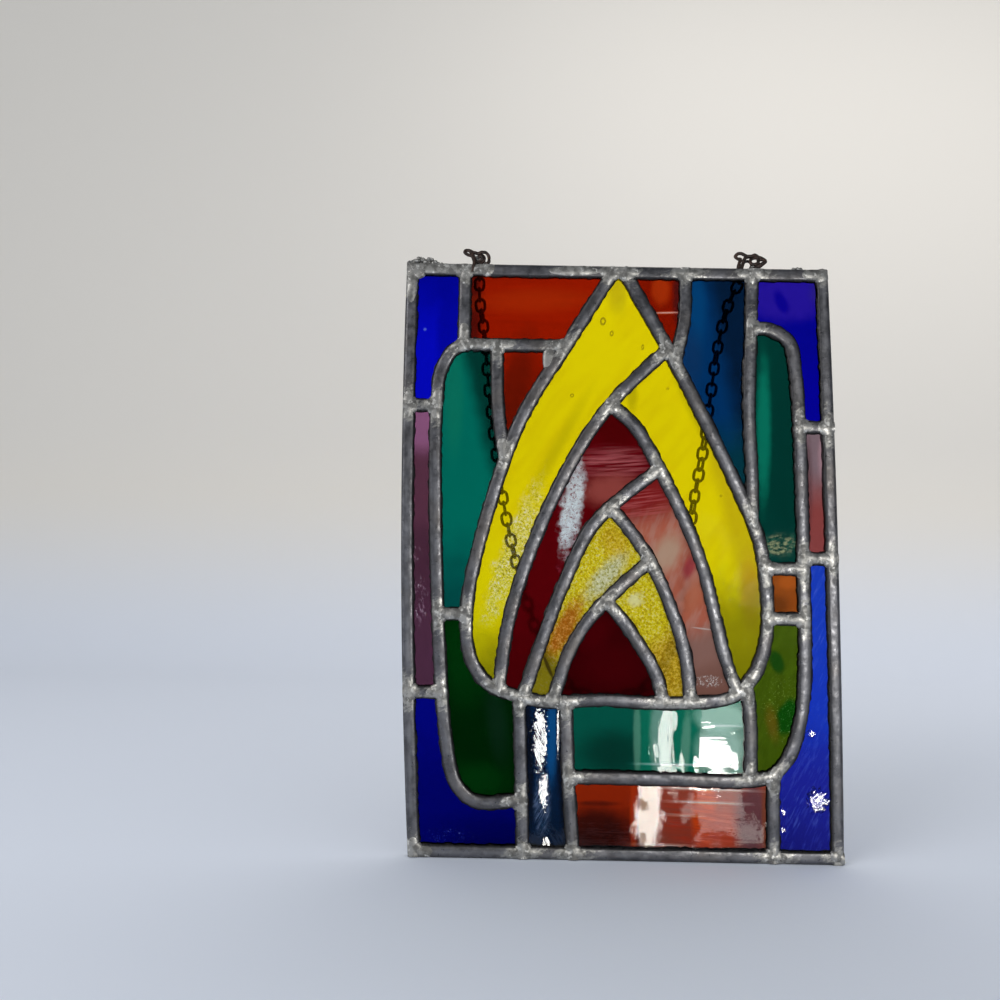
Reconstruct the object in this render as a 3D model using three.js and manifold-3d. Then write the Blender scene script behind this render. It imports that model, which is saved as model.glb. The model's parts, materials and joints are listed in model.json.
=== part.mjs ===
// A small leaded stained glass panel: coloured panes held in H-section lead
// cames, a U-section lead frame, two wire eyes and a link chain that hangs
// slack behind it. Millimetres. The panel is laid out flat, x to the right,
// y up and z towards the viewer, and the last lines stand it upright.

import * as THREE from 'three';
import { mergeVertices } from 'three/addons/utils/BufferGeometryUtils.js';
import Module from 'manifold-3d';

const wasm = await Module();
wasm.setup();

// Driving dimensions of the panel
const PANEL_WIDTH = 190;
const PANEL_HEIGHT = 263;
const TOP_LEAN = 6.5; // the top edge sits this far to the left of the bottom edge
const LEFT_BOW = 2.8; // the left side swells outwards by this much at mid height
const RIGHT_BOW = 1.3;

// Lead sections
const CAME_FACE = 5.2;
const CAME_THICKNESS = 5;
const CAME_CROWN = 2.4; // width of the crown's flat top
const HEART_WIDTH = 1.4;
const FRAME_FACE = 5.2;
const FRAME_WALL = 1.6;
const FRAME_ROUND = 0.8; // how far the frame's outer corners are taken off

// Glass and clearances
const GLASS_THICKNESS = 2.8;
const GLASS_CLEARANCE = 0.3;
const JOINT_GAP = 0.3;
const CHANNEL = GLASS_THICKNESS + 2 * GLASS_CLEARANCE; // between a came's two flanges
const FULL_CUT = 2 * CAME_THICKNESS; // a cut this thick goes right through the lead

// Wire eyes on the top edge
const EYE_WIDTH = 13.6;
const EYE_HEIGHT = 7.0;
const EYE_WIRE = 1.4;
const EYE_LEFT_INSET = 32.2; // from the top left corner to the middle of the eye
const EYE_RIGHT_INSET = 34.2;
const EYE_SOLDER_HEIGHT = 1.9;

// Chain
const LINK_LENGTH = 6.9;
const LINK_WIDTH = 5.8;
const LINK_WIRE = 1;
const LINK_PRESS = 0.15; // how far two links' wires sink into each other
const LINK_TURN = Math.PI / 2; // each link is turned this far from the last
const CHAIN_BEHIND = 6.8; // the chain's middle behind the middle of the glass

// Facets of the round sections, and of the rings that they run round
const EYE_WIRE_SIDES = 5;
const EYE_RING_STEPS = 10;
const EYE_SOLDER_SIDES = 8;
const EYE_SOLDER_RINGS = 3;
const LINK_WIRE_SIDES = 3;
const LINK_RING_STEPS = 6;
const BOWED_SIDE_STEPS = 6;
const CHAIN_DIVISIONS = 100; // per point of its route, to space the links evenly

// Places a point of the drawing on the panel. The drawing gives its points as
// shares: across the width from the middle line, and up the height.
function place([across, up]) {
  return new THREE.Vector3(across * PANEL_WIDTH - up * TOP_LEAN, up * PANEL_HEIGHT, 0);
}

// Closed geometry to a solid that can be cut and joined
function toSolid(geometry) {
  geometry.deleteAttribute('normal');
  geometry.deleteAttribute('uv');
  const merged = mergeVertices(geometry, 1e-4);
  return new wasm.Manifold(new wasm.Mesh({
    numProp: 3,
    vertProperties: new Float32Array(merged.attributes.position.array),
    triVerts: new Uint32Array(merged.index.array),
  }));
}

// Solid back to geometry
function toGeometry(solid) {
  const mesh = solid.getMesh();
  const geometry = new THREE.BufferGeometry();
  geometry.setAttribute('position', new THREE.BufferAttribute(mesh.vertProperties, 3));
  geometry.setIndex(new THREE.BufferAttribute(mesh.triVerts, 1));
  geometry.computeVertexNormals();
  return geometry;
}

// The biggest of the pieces that a cut leaves
function biggest(solid) {
  const pieces = solid.decompose();
  return pieces.reduce((best, piece) => (piece.volume() > best.volume() ? piece : best));
}

// A section swept along a flat curve. In the section, x runs through the
// thickness and y to the left of the curve's direction.
function sweep(outline, curve, steps) {
  const shape = new THREE.Shape(outline.map(([x, y]) => new THREE.Vector2(x, y)));
  return toSolid(new THREE.ExtrudeGeometry(shape, { extrudePath: curve, steps }));
}

// Rectangular section from one side offset to the other
function bar(from, to, thickness) {
  const half = thickness / 2;
  return [[-half, from], [half, from], [half, to], [-half, to]];
}

// The same sweep, carried straight on past both ends of the curve
function sweepPast(outline, curve, steps, past) {
  const tails = [[0, -1], [1, 1]].map(([end, sense]) => {
    const tip = curve.getPointAt(end);
    const on = curve.getTangentAt(end).multiplyScalar(sense * past);
    return sweep(outline, new THREE.LineCurve3(tip.clone().sub(on), tip.clone().add(on)), 1);
  });
  return tails.reduce((joined, tail) => joined.add(tail), sweep(outline, curve, steps));
}

// Smooth curve whose steps fall evenly between its points, so that a bend
// with more points gets more steps
class DrawnCurve extends THREE.CatmullRomCurve3 {
  constructor(points) {
    super(points.map(place), false, 'centripetal');
  }

  getUtoTmapping(u) {
    return u;
  }
}

// H section of an inner came: heart, flanges and rounded crowns
function cameSection() {
  const face = CAME_FACE / 2;
  const crown = CAME_CROWN / 2;
  const top = CAME_THICKNESS / 2;
  const channel = CHANNEL / 2;
  const heart = HEART_WIDTH / 2;
  return [
    [top, -crown], [top, crown], [channel, face], [channel, heart],
    [-channel, heart], [-channel, face], [-top, crown], [-top, -crown],
    [-channel, -face], [-channel, -heart], [channel, -heart], [channel, -face],
  ];
}

// U section of the frame: y is 0 on the outer edge and grows inwards
function frameSection() {
  const top = CAME_THICKNESS / 2;
  const crown = (FRAME_FACE + CAME_CROWN) / 2;
  const channel = CHANNEL / 2;
  return [
    [top, FRAME_ROUND], [top, crown], [channel, FRAME_FACE], [channel, FRAME_WALL],
    [-channel, FRAME_WALL], [-channel, FRAME_FACE], [-top, crown], [-top, FRAME_ROUND],
    [-top + FRAME_ROUND, 0], [top - FRAME_ROUND, 0],
  ];
}

// Edge of the panel from one corner to the next, swelling out as a parabola.
// It runs a little past both corners, so that its ends can be cut off square.
class PanelEdge extends THREE.Curve {
  constructor(from, to, bow, past) {
    super();
    Object.assign(this, { from, to, bow, past });
  }

  getPoint(t) {
    const share = -this.past + t * (1 + 2 * this.past);
    const along = this.to.clone().sub(this.from);
    const outward = new THREE.Vector3(along.y, -along.x, 0).normalize();
    const swell = 4 * this.bow * share * (1 - share);
    return this.from.clone().addScaledVector(along, share).addScaledVector(outward, swell);
  }
}

const CORNERS = {
  bottomLeft: new THREE.Vector3(-PANEL_WIDTH / 2, 0, 0),
  bottomRight: new THREE.Vector3(PANEL_WIDTH / 2, 0, 0),
  topRight: new THREE.Vector3(PANEL_WIDTH / 2 - TOP_LEAN, PANEL_HEIGHT, 0),
  topLeft: new THREE.Vector3(-PANEL_WIDTH / 2 - TOP_LEAN, PANEL_HEIGHT, 0),
};
const PAST_CORNER = 0.02; // share of its length that a side runs on past its corners

// The four frame sides, run with the panel on their left
const FRAME_SIDES = [
  { name: 'frame_left', from: 'topLeft', to: 'bottomLeft', bow: LEFT_BOW, steps: BOWED_SIDE_STEPS },
  { name: 'frame_right', from: 'bottomRight', to: 'topRight', bow: RIGHT_BOW, steps: BOWED_SIDE_STEPS },
  { name: 'frame_top', from: 'topRight', to: 'topLeft', bow: 0, steps: 1 },
  { name: 'frame_bottom', from: 'bottomLeft', to: 'bottomRight', bow: 0, steps: 1 },
];

// Inner cames, as points of the drawing. Each starts and ends on the middle
// line of the came it meets, and is cut back to the face of those before it.
// Where perSpan is given, the sweep takes that many steps from point to point.
const CAMES = [
  {
    name: 'came_flame_left', perSpan: 2,
    points: [
      [-0.0055, 0.9943], [-0.1111, 0.8745], [-0.2384, 0.7224], [-0.341, 0.4943], [-0.3619, 0.4068],
      [-0.3559, 0.3346], [-0.3191, 0.289], [-0.2436, 0.2643],
    ],
  },
  {
    name: 'came_flame_right', perSpan: 2,
    points: [
      [0.0156, 0.9943], [0.1339, 0.8365], [0.284, 0.6084], [0.3235, 0.5323], [0.3381, 0.4525],
      [0.3362, 0.3802], [0.3136, 0.3194], [0.2781, 0.2833],
    ],
  },
  {
    name: 'came_flame_base',
    points: [
      [-0.2436, 0.2643], [-0.1754, 0.2578], [-0.0437, 0.2624], [0.0615, 0.2593], [0.1668, 0.2608],
      [0.2461, 0.27], [0.2846, 0.2886],
    ],
  },
  {
    name: 'came_outer_arch_left',
    points: [
      [0.1162, 0.8574], [0.0543, 0.8167], [-0.0214, 0.7605], [-0.095, 0.6844], [-0.1768, 0.5703],
      [-0.2381, 0.4563], [-0.2682, 0.3764], [-0.2884, 0.2764],
    ],
  },
  {
    name: 'came_outer_arch_right',
    points: [
      [-0.0213, 0.7624], [0.0404, 0.7205], [0.0959, 0.6483], [0.1469, 0.5703], [0.1869, 0.4943],
      [0.2127, 0.4183], [0.2359, 0.3422], [0.2653, 0.2783],
    ],
  },
  {
    name: 'came_middle_arch_left',
    points: [
      [0.0934, 0.6521], [0.0102, 0.6065], [-0.069, 0.5513], [-0.1344, 0.4563], [-0.1765, 0.3802],
      [-0.2336, 0.2635],
    ],
  },
  {
    name: 'came_middle_arch_right',
    points: [
      [-0.0237, 0.5852], [0.0188, 0.5494], [0.0685, 0.4943], [0.1143, 0.4183], [0.1449, 0.3422],
      [0.1568, 0.2608],
    ],
  },
  {
    name: 'came_inner_arch_left',
    points: [
      [0.067, 0.4962], [0.0013, 0.4544], [-0.0759, 0.3973], [-0.123, 0.3422], [-0.1643, 0.2582],
    ],
  },
  {
    name: 'came_inner_arch_right',
    points: [
      [-0.0375, 0.427], [-0.0073, 0.403], [0.0339, 0.3612], [0.0783, 0.3042], [0.0915, 0.2597],
    ],
  },
  {
    name: 'came_bottom_left_upright',
    points: [
      [-0.2415, 0.2639], [-0.2385, 0.1521], [-0.2357, 0.0038],
    ],
  },
  {
    name: 'came_bottom_middle_upright',
    points: [
      [-0.1333, 0.2586], [-0.1295, 0.1369], [-0.1199, 0.0038],
    ],
  },
  { name: 'came_bottom_right_upright', points: [[0.3434, 0.146], [0.3391, 0.0038]] },
  {
    name: 'came_left_border', perSpan: 2,
    points: [
      [-0.3495, 0.8605], [-0.3855, 0.8536], [-0.4183, 0.8175], [-0.4311, 0.7529],
      [-0.4299, 0.4183], [-0.4095, 0.1825], [-0.388, 0.1198], [-0.3442, 0.092], [-0.2389, 0.0951],
    ],
  },
  { name: 'came_top_left_upright', points: [[-0.3607, 0.9962], [-0.3653, 0.8605]] },
  { name: 'came_top_left_rail', points: [[-0.3495, 0.8605], [-0.1248, 0.8605]] },
  {
    name: 'came_triangle_upright',
    points: [
      [-0.2864, 0.8605], [-0.2861, 0.7605], [-0.2718, 0.6692],
    ],
  },
  { name: 'came_left_upper_step', points: [[-0.5058, 0.7548], [-0.4294, 0.7548]] },
  { name: 'came_left_lower_step', points: [[-0.5092, 0.27], [-0.4202, 0.27]] },
  { name: 'came_green_top', points: [[-0.4284, 0.4011], [-0.361, 0.4011]] },
  {
    name: 'came_top_right_upright',
    points: [
      [0.3209, 0.9962], [0.3165, 0.9125], [0.3065, 0.7605], [0.3099, 0.6274], [0.3069, 0.5696],
    ],
  },
  {
    name: 'came_top_middle_upright',
    points: [
      [0.162, 0.9962], [0.1586, 0.9125], [0.1349, 0.8365],
    ],
  },
  {
    name: 'came_right_border', perSpan: 2,
    points: [
      [0.3164, 0.8958], [0.357, 0.8958], [0.4036, 0.8745], [0.4177, 0.8251], [0.4253, 0.4943],
      [0.4138, 0.251], [0.3769, 0.1696], [0.3363, 0.1388],
    ],
  },
  {
    name: 'came_bottom_rail',
    points: [
      [-0.1291, 0.1346], [0.1098, 0.1338], [0.2677, 0.1327], [0.3417, 0.1407],
    ],
  },
  { name: 'came_teal_end_upright', points: [[0.2872, 0.2859], [0.2936, 0.2281], [0.2903, 0.1331]] },
  { name: 'came_right_upper_step', points: [[0.417, 0.7281], [0.5039, 0.7281]] },
  { name: 'came_right_lower_step', points: [[0.4246, 0.5049], [0.5015, 0.5049]] },
  { name: 'came_amber_top', points: [[0.3351, 0.4867], [0.4245, 0.4867]] },
  { name: 'came_amber_bottom', points: [[0.3369, 0.403], [0.4233, 0.403]] },
];

// Panes, each found by a point of the drawing that lies on it
const PANES = [
  { name: 'pane_cobalt_top_left', on: [-0.442, 0.932], color: 0x0a10b4 },
  { name: 'pane_red_top_left', on: [-0.232, 0.924], color: 0x9a1f04 },
  { name: 'pane_red_triangle', on: [-0.251, 0.818], color: 0x8e1a04 },
  { name: 'pane_teal_left', on: [-0.359, 0.722], color: 0x006258 },
  { name: 'pane_purple_left', on: [-0.47, 0.57], color: 0x4a2440 },
  { name: 'pane_green_left', on: [-0.336, 0.19], color: 0x06280c },
  { name: 'pane_navy_bottom_left', on: [-0.458, 0.152], color: 0x050a66 },
  { name: 'pane_yellow_left', on: [-0.022, 0.893], color: 0xe2cc04 },
  { name: 'pane_dark_red', on: [-0.184, 0.456], color: 0x7c0610 },
  { name: 'pane_grainy_yellow_left', on: [-0.036, 0.494], color: 0xc8b41c },
  { name: 'pane_maroon_middle', on: [-0.031, 0.323], color: 0x4c0610 },
  { name: 'pane_grainy_yellow_right', on: [0.077, 0.399], color: 0xd2b81a },
  { name: 'pane_salmon_streaked', on: [0.133, 0.494], color: 0xb06250 },
  { name: 'pane_yellow_right', on: [0.254, 0.494], color: 0xdccc08 },
  { name: 'pane_red_top_right', on: [0.106, 0.943], color: 0x9a2206 },
  { name: 'pane_steel_blue', on: [0.229, 0.856], color: 0x052a58 },
  { name: 'pane_teal_right', on: [0.365, 0.684], color: 0x00604c },
  { name: 'pane_violet_top_right', on: [0.45, 0.837], color: 0x1c12a6 },
  { name: 'pane_mauve_right', on: [0.458, 0.608], color: 0x8c4a58 },
  { name: 'pane_amber_square', on: [0.378, 0.445], color: 0x9c4a08 },
  { name: 'pane_olive_right', on: [0.362, 0.285], color: 0x4a6010 },
  { name: 'pane_blue_right', on: [0.453, 0.304], color: 0x0c28c0 },
  { name: 'pane_teal_bottom', on: [0.086, 0.198], color: 0x00684c },
  { name: 'pane_orange_bottom', on: [0.108, 0.068], color: 0xb83c14 },
  { name: 'pane_ribbed_blue', on: [-0.184, 0.152], color: 0x3c6c98 },
];

// Lumps of solder that stand up round the top left corner: the frame side that
// each sits on, its middle along the top edge from the corner, and half sizes
const LUMP_SIZE = { width: 4.6, height: 3, depth: 3.1 };
const LUMP_SPACING = 1;
const CORNER_LUMPS = [
  { side: 'frame_left', along: FRAME_FACE / 2, ...LUMP_SIZE, width: FRAME_FACE / 2 },
  { side: 'frame_top', along: FRAME_FACE + LUMP_SPACING + LUMP_SIZE.width, ...LUMP_SIZE },
];

// Where the chain drops from each eye's upper wire behind the top edge: sideways
// and down as shares of the eye's height, and back as a share of CHAIN_BEHIND
const CHAIN_LEAVES_LEFT = [[0.057, -0.457, 0.6], [0.071, -1.157, 0.95]];
const CHAIN_LEAVES_RIGHT = [[-0.114, -0.486, 0.6], [-0.4, -1.229, 0.95]];

// Route of the slack chain on the drawing, flat behind the panel
const CHAIN_ROUTE = [
  [-0.3281, 0.9468], [-0.3189, 0.8935], [-0.306, 0.7795], [-0.2826, 0.6312], [-0.2549, 0.519],
  [-0.2149, 0.4106], [-0.1705, 0.3232], [-0.1085, 0.2757], [-0.0263, 0.2624], [0.057, 0.2814],
  [0.1141, 0.3346], [0.1479, 0.4297], [0.1782, 0.5932], [0.2022, 0.6806], [0.2229, 0.7757],
  [0.2427, 0.8631], [0.2717, 0.943],
];

// Cames: their solids, what each keeps clear for the cames that meet it, and
// what its heart takes out of the glass
const envelopes = [];
const hearts = [];
const solids = new Map();

function addCame(name, solid, envelope, heart) {
  const cut = envelopes.reduce((rest, earlier) => rest.subtract(earlier), solid);
  solids.set(name, biggest(cut));
  envelopes.push(envelope);
  hearts.push(heart);
}

// Box as wide as anything, from the bottom edge up to a height
function boxUpTo(height) {
  const box = new THREE.BoxGeometry(2 * PANEL_WIDTH, height, 2 * CAME_THICKNESS);
  return toSolid(box.translate(0, height / 2, 0));
}

function addFrame() {
  const trim = boxUpTo(PANEL_HEIGHT);
  for (const { name, from, to, bow, steps } of FRAME_SIDES) {
    const edge = new PanelEdge(CORNERS[from], CORNERS[to], bow, PAST_CORNER);
    const envelope = sweep(bar(-JOINT_GAP, FRAME_FACE + JOINT_GAP, FULL_CUT), edge, steps);
    const heart = sweep(bar(-FRAME_WALL, FRAME_WALL + GLASS_CLEARANCE, FULL_CUT), edge, steps);
    const side = sweep(frameSection(), edge, steps).intersect(trim);
    addCame(name, side, envelope, heart);
  }
}

function addCames() {
  const half = CAME_FACE / 2 + JOINT_GAP;
  const slot = HEART_WIDTH / 2 + GLASS_CLEARANCE;
  for (const { name, points, perSpan = 1 } of CAMES) {
    const middle = new DrawnCurve(points);
    const steps = (points.length - 1) * perSpan;
    const envelope = sweepPast(bar(-half, half, FULL_CUT), middle, steps, JOINT_GAP);
    const heart = sweepPast(bar(-slot, slot, FULL_CUT), middle, steps, HEART_WIDTH / 2);
    addCame(name, sweep(cameSection(), middle, steps), envelope, heart);
  }
}

// Solder lumps on the top left corner, joined to the frame sides they sit on
// and cut off below in the frame's outer wall
function addCornerLumps() {
  const below = boxUpTo(PANEL_HEIGHT - FRAME_WALL / 2);
  for (const { side, along, width, height, depth } of CORNER_LUMPS) {
    const lump = new THREE.IcosahedronGeometry(1, 0);
    lump.scale(width, height, depth);
    lump.translate(CORNERS.topLeft.x + along, PANEL_HEIGHT, 0);
    solids.set(side, solids.get(side).add(toSolid(lump).subtract(below)));
  }
}

// One sheet of glass as large as the panel, cut apart by all the hearts
function cutPanes() {
  const { bottomLeft, bottomRight, topRight, topLeft } = CORNERS;
  const reach = Math.max(LEFT_BOW, RIGHT_BOW);
  const outline = new THREE.Shape([
    new THREE.Vector2(bottomLeft.x - reach, bottomLeft.y),
    new THREE.Vector2(bottomRight.x + reach, bottomRight.y),
    new THREE.Vector2(topRight.x + reach, topRight.y),
    new THREE.Vector2(topLeft.x - reach, topLeft.y),
  ]);
  const depth = GLASS_THICKNESS;
  const sheet = new THREE.ExtrudeGeometry(outline, { depth, bevelEnabled: false });
  sheet.translate(0, 0, -depth / 2);
  const cut = hearts.reduce((rest, heart) => rest.subtract(heart), toSolid(sheet));
  return cut.decompose();
}

function addPanes() {
  const pieces = cutPanes();
  for (const { name, on } of PANES) {
    const at = place(on);
    const size = GLASS_THICKNESS / 2;
    const probe = toSolid(new THREE.BoxGeometry(size, size, size).translate(at.x, at.y, 0));
    solids.set(name, pieces.find((piece) => !piece.intersect(probe).isEmpty()));
  }
}

// Oval ring of wire lying in the x-y plane: a torus pulled apart to its length,
// with what lies on its middle line left there. The tube's radius is negative
// to turn an edge of its section inwards.
function ovalRing(length, width, wire, sides, steps) {
  const ring = new THREE.TorusGeometry((width - wire) / 2, -wire / 2, sides, steps);
  const position = ring.attributes.position;
  const pull = (length - width) / 2;
  const onMiddle = wire / 100;
  for (let i = 0; i < position.count; i += 1) {
    const x = position.getX(i);
    position.setX(i, Math.abs(x) < onMiddle ? x : x + Math.sign(x) * pull);
  }
  return ring;
}

// A wire eye, with the solder that holds it down on the top edge
function addEye(name, x) {
  const base = PANEL_HEIGHT + JOINT_GAP;
  const ring = ovalRing(EYE_WIDTH, EYE_HEIGHT, EYE_WIRE, EYE_WIRE_SIDES, EYE_RING_STEPS);
  ring.translate(x, base + EYE_HEIGHT / 2, 0);
  const solder = new THREE.SphereGeometry(
    1, EYE_SOLDER_SIDES, EYE_SOLDER_RINGS, 0, 2 * Math.PI, 0, Math.PI / 2,
  );
  const floor = new THREE.CircleGeometry(1, EYE_SOLDER_SIDES).rotateX(Math.PI / 2);
  const dome = new THREE.BufferGeometry();
  const corners = [solder, floor].flatMap((side) => [
    ...side.toNonIndexed().attributes.position.array,
  ]);
  dome.setAttribute('position', new THREE.Float32BufferAttribute(corners, 3));
  dome.scale(EYE_WIDTH / 2, EYE_SOLDER_HEIGHT, CAME_THICKNESS / 2);
  dome.translate(x, base, 0);
  solids.set(name, toSolid(ring).add(toSolid(dome)));
}

const EYE_X = {
  left: CORNERS.topLeft.x + EYE_LEFT_INSET,
  right: CORNERS.topRight.x - EYE_RIGHT_INSET,
};
const EYE_BAR_HEIGHT = PANEL_HEIGHT + JOINT_GAP + EYE_HEIGHT - EYE_WIRE / 2;

// The chain: links on a smooth curve from one eye's upper wire to the other's,
// at even spacing, each turned from the last. Their number is odd, so that the
// first and the last both stand across the wire that they hang on.
function addChain() {
  const behind = new THREE.Vector3(0, 0, -CHAIN_BEHIND);
  const route = CHAIN_ROUTE.map((point) => place(point).add(behind));
  const [left, right] = [EYE_X.left, EYE_X.right].map(
    (x) => new THREE.Vector3(x, EYE_BAR_HEIGHT, 0),
  );
  const leave = (bar) => ([across, up, back]) => new THREE.Vector3(
    across * EYE_HEIGHT, up * EYE_HEIGHT, -back * CHAIN_BEHIND,
  ).add(bar);
  const points = [
    left, ...CHAIN_LEAVES_LEFT.map(leave(left)), ...route,
    ...CHAIN_LEAVES_RIGHT.map(leave(right)).reverse(), right,
  ];
  const curve = new THREE.CatmullRomCurve3(points, false, 'centripetal');
  curve.arcLengthDivisions = points.length * CHAIN_DIVISIONS;
  const length = curve.getLength();
  const inside = LINK_LENGTH / 2 - LINK_WIRE;
  const first = inside - EYE_WIRE / 2 - JOINT_GAP;
  const pitch = LINK_LENGTH - 2 * LINK_WIRE + LINK_PRESS;
  const run = length - 2 * first;
  const gaps = 2 * Math.ceil(run / (2 * pitch));
  let chain = null;
  for (let i = 0; i <= gaps; i += 1) {
    const share = (first + run * i / gaps) / length;
    const link = ovalRing(
      LINK_LENGTH, LINK_WIDTH, LINK_WIRE, LINK_WIRE_SIDES, LINK_RING_STEPS,
    );
    const along = curve.getTangentAt(share);
    const across = new THREE.Vector3(0, 0, 1);
    const side = new THREE.Vector3().crossVectors(along, across).normalize();
    const up = new THREE.Vector3().crossVectors(side, along).normalize();
    const turned = new THREE.Matrix4().makeBasis(along, side, up.negate());
    link.rotateX((i + 1) * LINK_TURN);
    link.applyMatrix4(turned.setPosition(curve.getPointAt(share)));
    const solid = toSolid(link);
    chain = chain ? chain.add(solid) : solid;
  }
  solids.set('hanging_chain', chain);
}

addFrame();
addCames();
addPanes();
addCornerLumps();
addEye('eye_left', EYE_X.left);
addEye('eye_right', EYE_X.right);
addChain();

// Finishes
const lead = () => new THREE.MeshStandardMaterial({
  color: 0x75767c, roughness: 0.45, metalness: 0.8,
});
const glass = (color) => new THREE.MeshStandardMaterial({
  color, roughness: 0.12, metalness: 0, transparent: true, opacity: 0.85,
});
const wire = () => new THREE.MeshStandardMaterial({
  color: 0x2e241e, roughness: 0.55, metalness: 0.7,
});

function finishOf(name) {
  const pane = PANES.find((one) => one.name === name);
  if (pane) {
    return glass(pane.color);
  }
  return name.startsWith('eye') || name === 'hanging_chain' ? wire() : lead();
}

// The panel stands upright, front to -Y, with its origin at the middle of the
// top edge, between the two eyes
const panel = new THREE.Group();
const flat = new THREE.Group();
flat.position.set(TOP_LEAN, -PANEL_HEIGHT, 0);
for (const [name, solid] of solids) {
  const mesh = new THREE.Mesh(toGeometry(solid), finishOf(name));
  mesh.name = name;
  flat.add(mesh);
}
panel.add(flat);
panel.rotation.x = Math.PI / 2;

export default panel;
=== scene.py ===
"""Finishes the leaded glass panel: cames, solder, coloured panes, wire eyes and chain.

Lengths are in metres. The panel is drawn flat, x to the right, y up and the third
number towards the viewer, and stand_up() puts the drawing where the solids are.
"""

import json
import math

import bmesh
import bpy
import numpy as np
from bpy.props import FloatProperty, FloatVectorProperty, PointerProperty
from mathutils import Matrix


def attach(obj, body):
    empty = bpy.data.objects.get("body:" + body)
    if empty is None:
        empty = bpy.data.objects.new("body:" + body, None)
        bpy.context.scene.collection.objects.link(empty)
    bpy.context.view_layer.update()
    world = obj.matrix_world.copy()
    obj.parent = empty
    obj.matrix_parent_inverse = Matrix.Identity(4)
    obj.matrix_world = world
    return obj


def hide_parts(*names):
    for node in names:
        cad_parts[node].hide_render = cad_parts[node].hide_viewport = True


bl_info = {
    "name": "Leaded glass panel",
    "version": (1, 0, 0),
    "blender": (4, 5, 0),
    "location": "3D View > Sidebar > Glass panel",
    "description": "Builds the leads, solder, panes, wire eyes and chain of a leaded glass panel",
    "category": "Object",
}

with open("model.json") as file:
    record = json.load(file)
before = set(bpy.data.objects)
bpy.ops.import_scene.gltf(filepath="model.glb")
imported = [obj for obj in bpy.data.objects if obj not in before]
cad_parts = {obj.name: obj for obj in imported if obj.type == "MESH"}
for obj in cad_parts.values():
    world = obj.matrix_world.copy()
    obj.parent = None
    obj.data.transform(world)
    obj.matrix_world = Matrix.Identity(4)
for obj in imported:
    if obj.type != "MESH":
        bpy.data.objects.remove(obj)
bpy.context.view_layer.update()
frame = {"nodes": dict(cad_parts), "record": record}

MM = 0.001
SHARP_ANGLE = math.radians(50.0)

# Size and lean of the panel, as the solids have them
PANEL_WIDTH = 0.190
PANEL_HEIGHT = 0.263
TOP_LEAN = 0.0065
LEFT_BOW = 0.0028
RIGHT_BOW = 0.0013
EYE_LEFT_INSET = 0.0322
EYE_RIGHT_INSET = 0.0342
EYE_HEIGHT = 0.0070
EYE_WIRE = 0.0014
JOINT_GAP = 0.0003

# The "across" attribute is 0 on the middle of a crown, and has these values at the crown's edge
# and on the cement
CROWN_EDGE = 0.98
ON_CEMENT = 1.25

# The flange's edge stands off the channel by the lip, and the cement off the glass by the gap
FLANGE_LIP = 0.0001
GLASS_GAP = 0.00002

# Solder starts this far below the glass's face
FOOT = 0.0002
# A run stays this far from a lead's end, and isn't tapered where it starts or stops this near it
END_INSET = 0.0006
NEAR_END = 0.0007
# The last ring of a dome stops this angle short of the top
POLE = 0.03
# A joint's star reaches this far along the leads, and passes their inner corner by the fillet
STAR_ARM = 0.0072
STAR_FILLET = 0.0009

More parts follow.
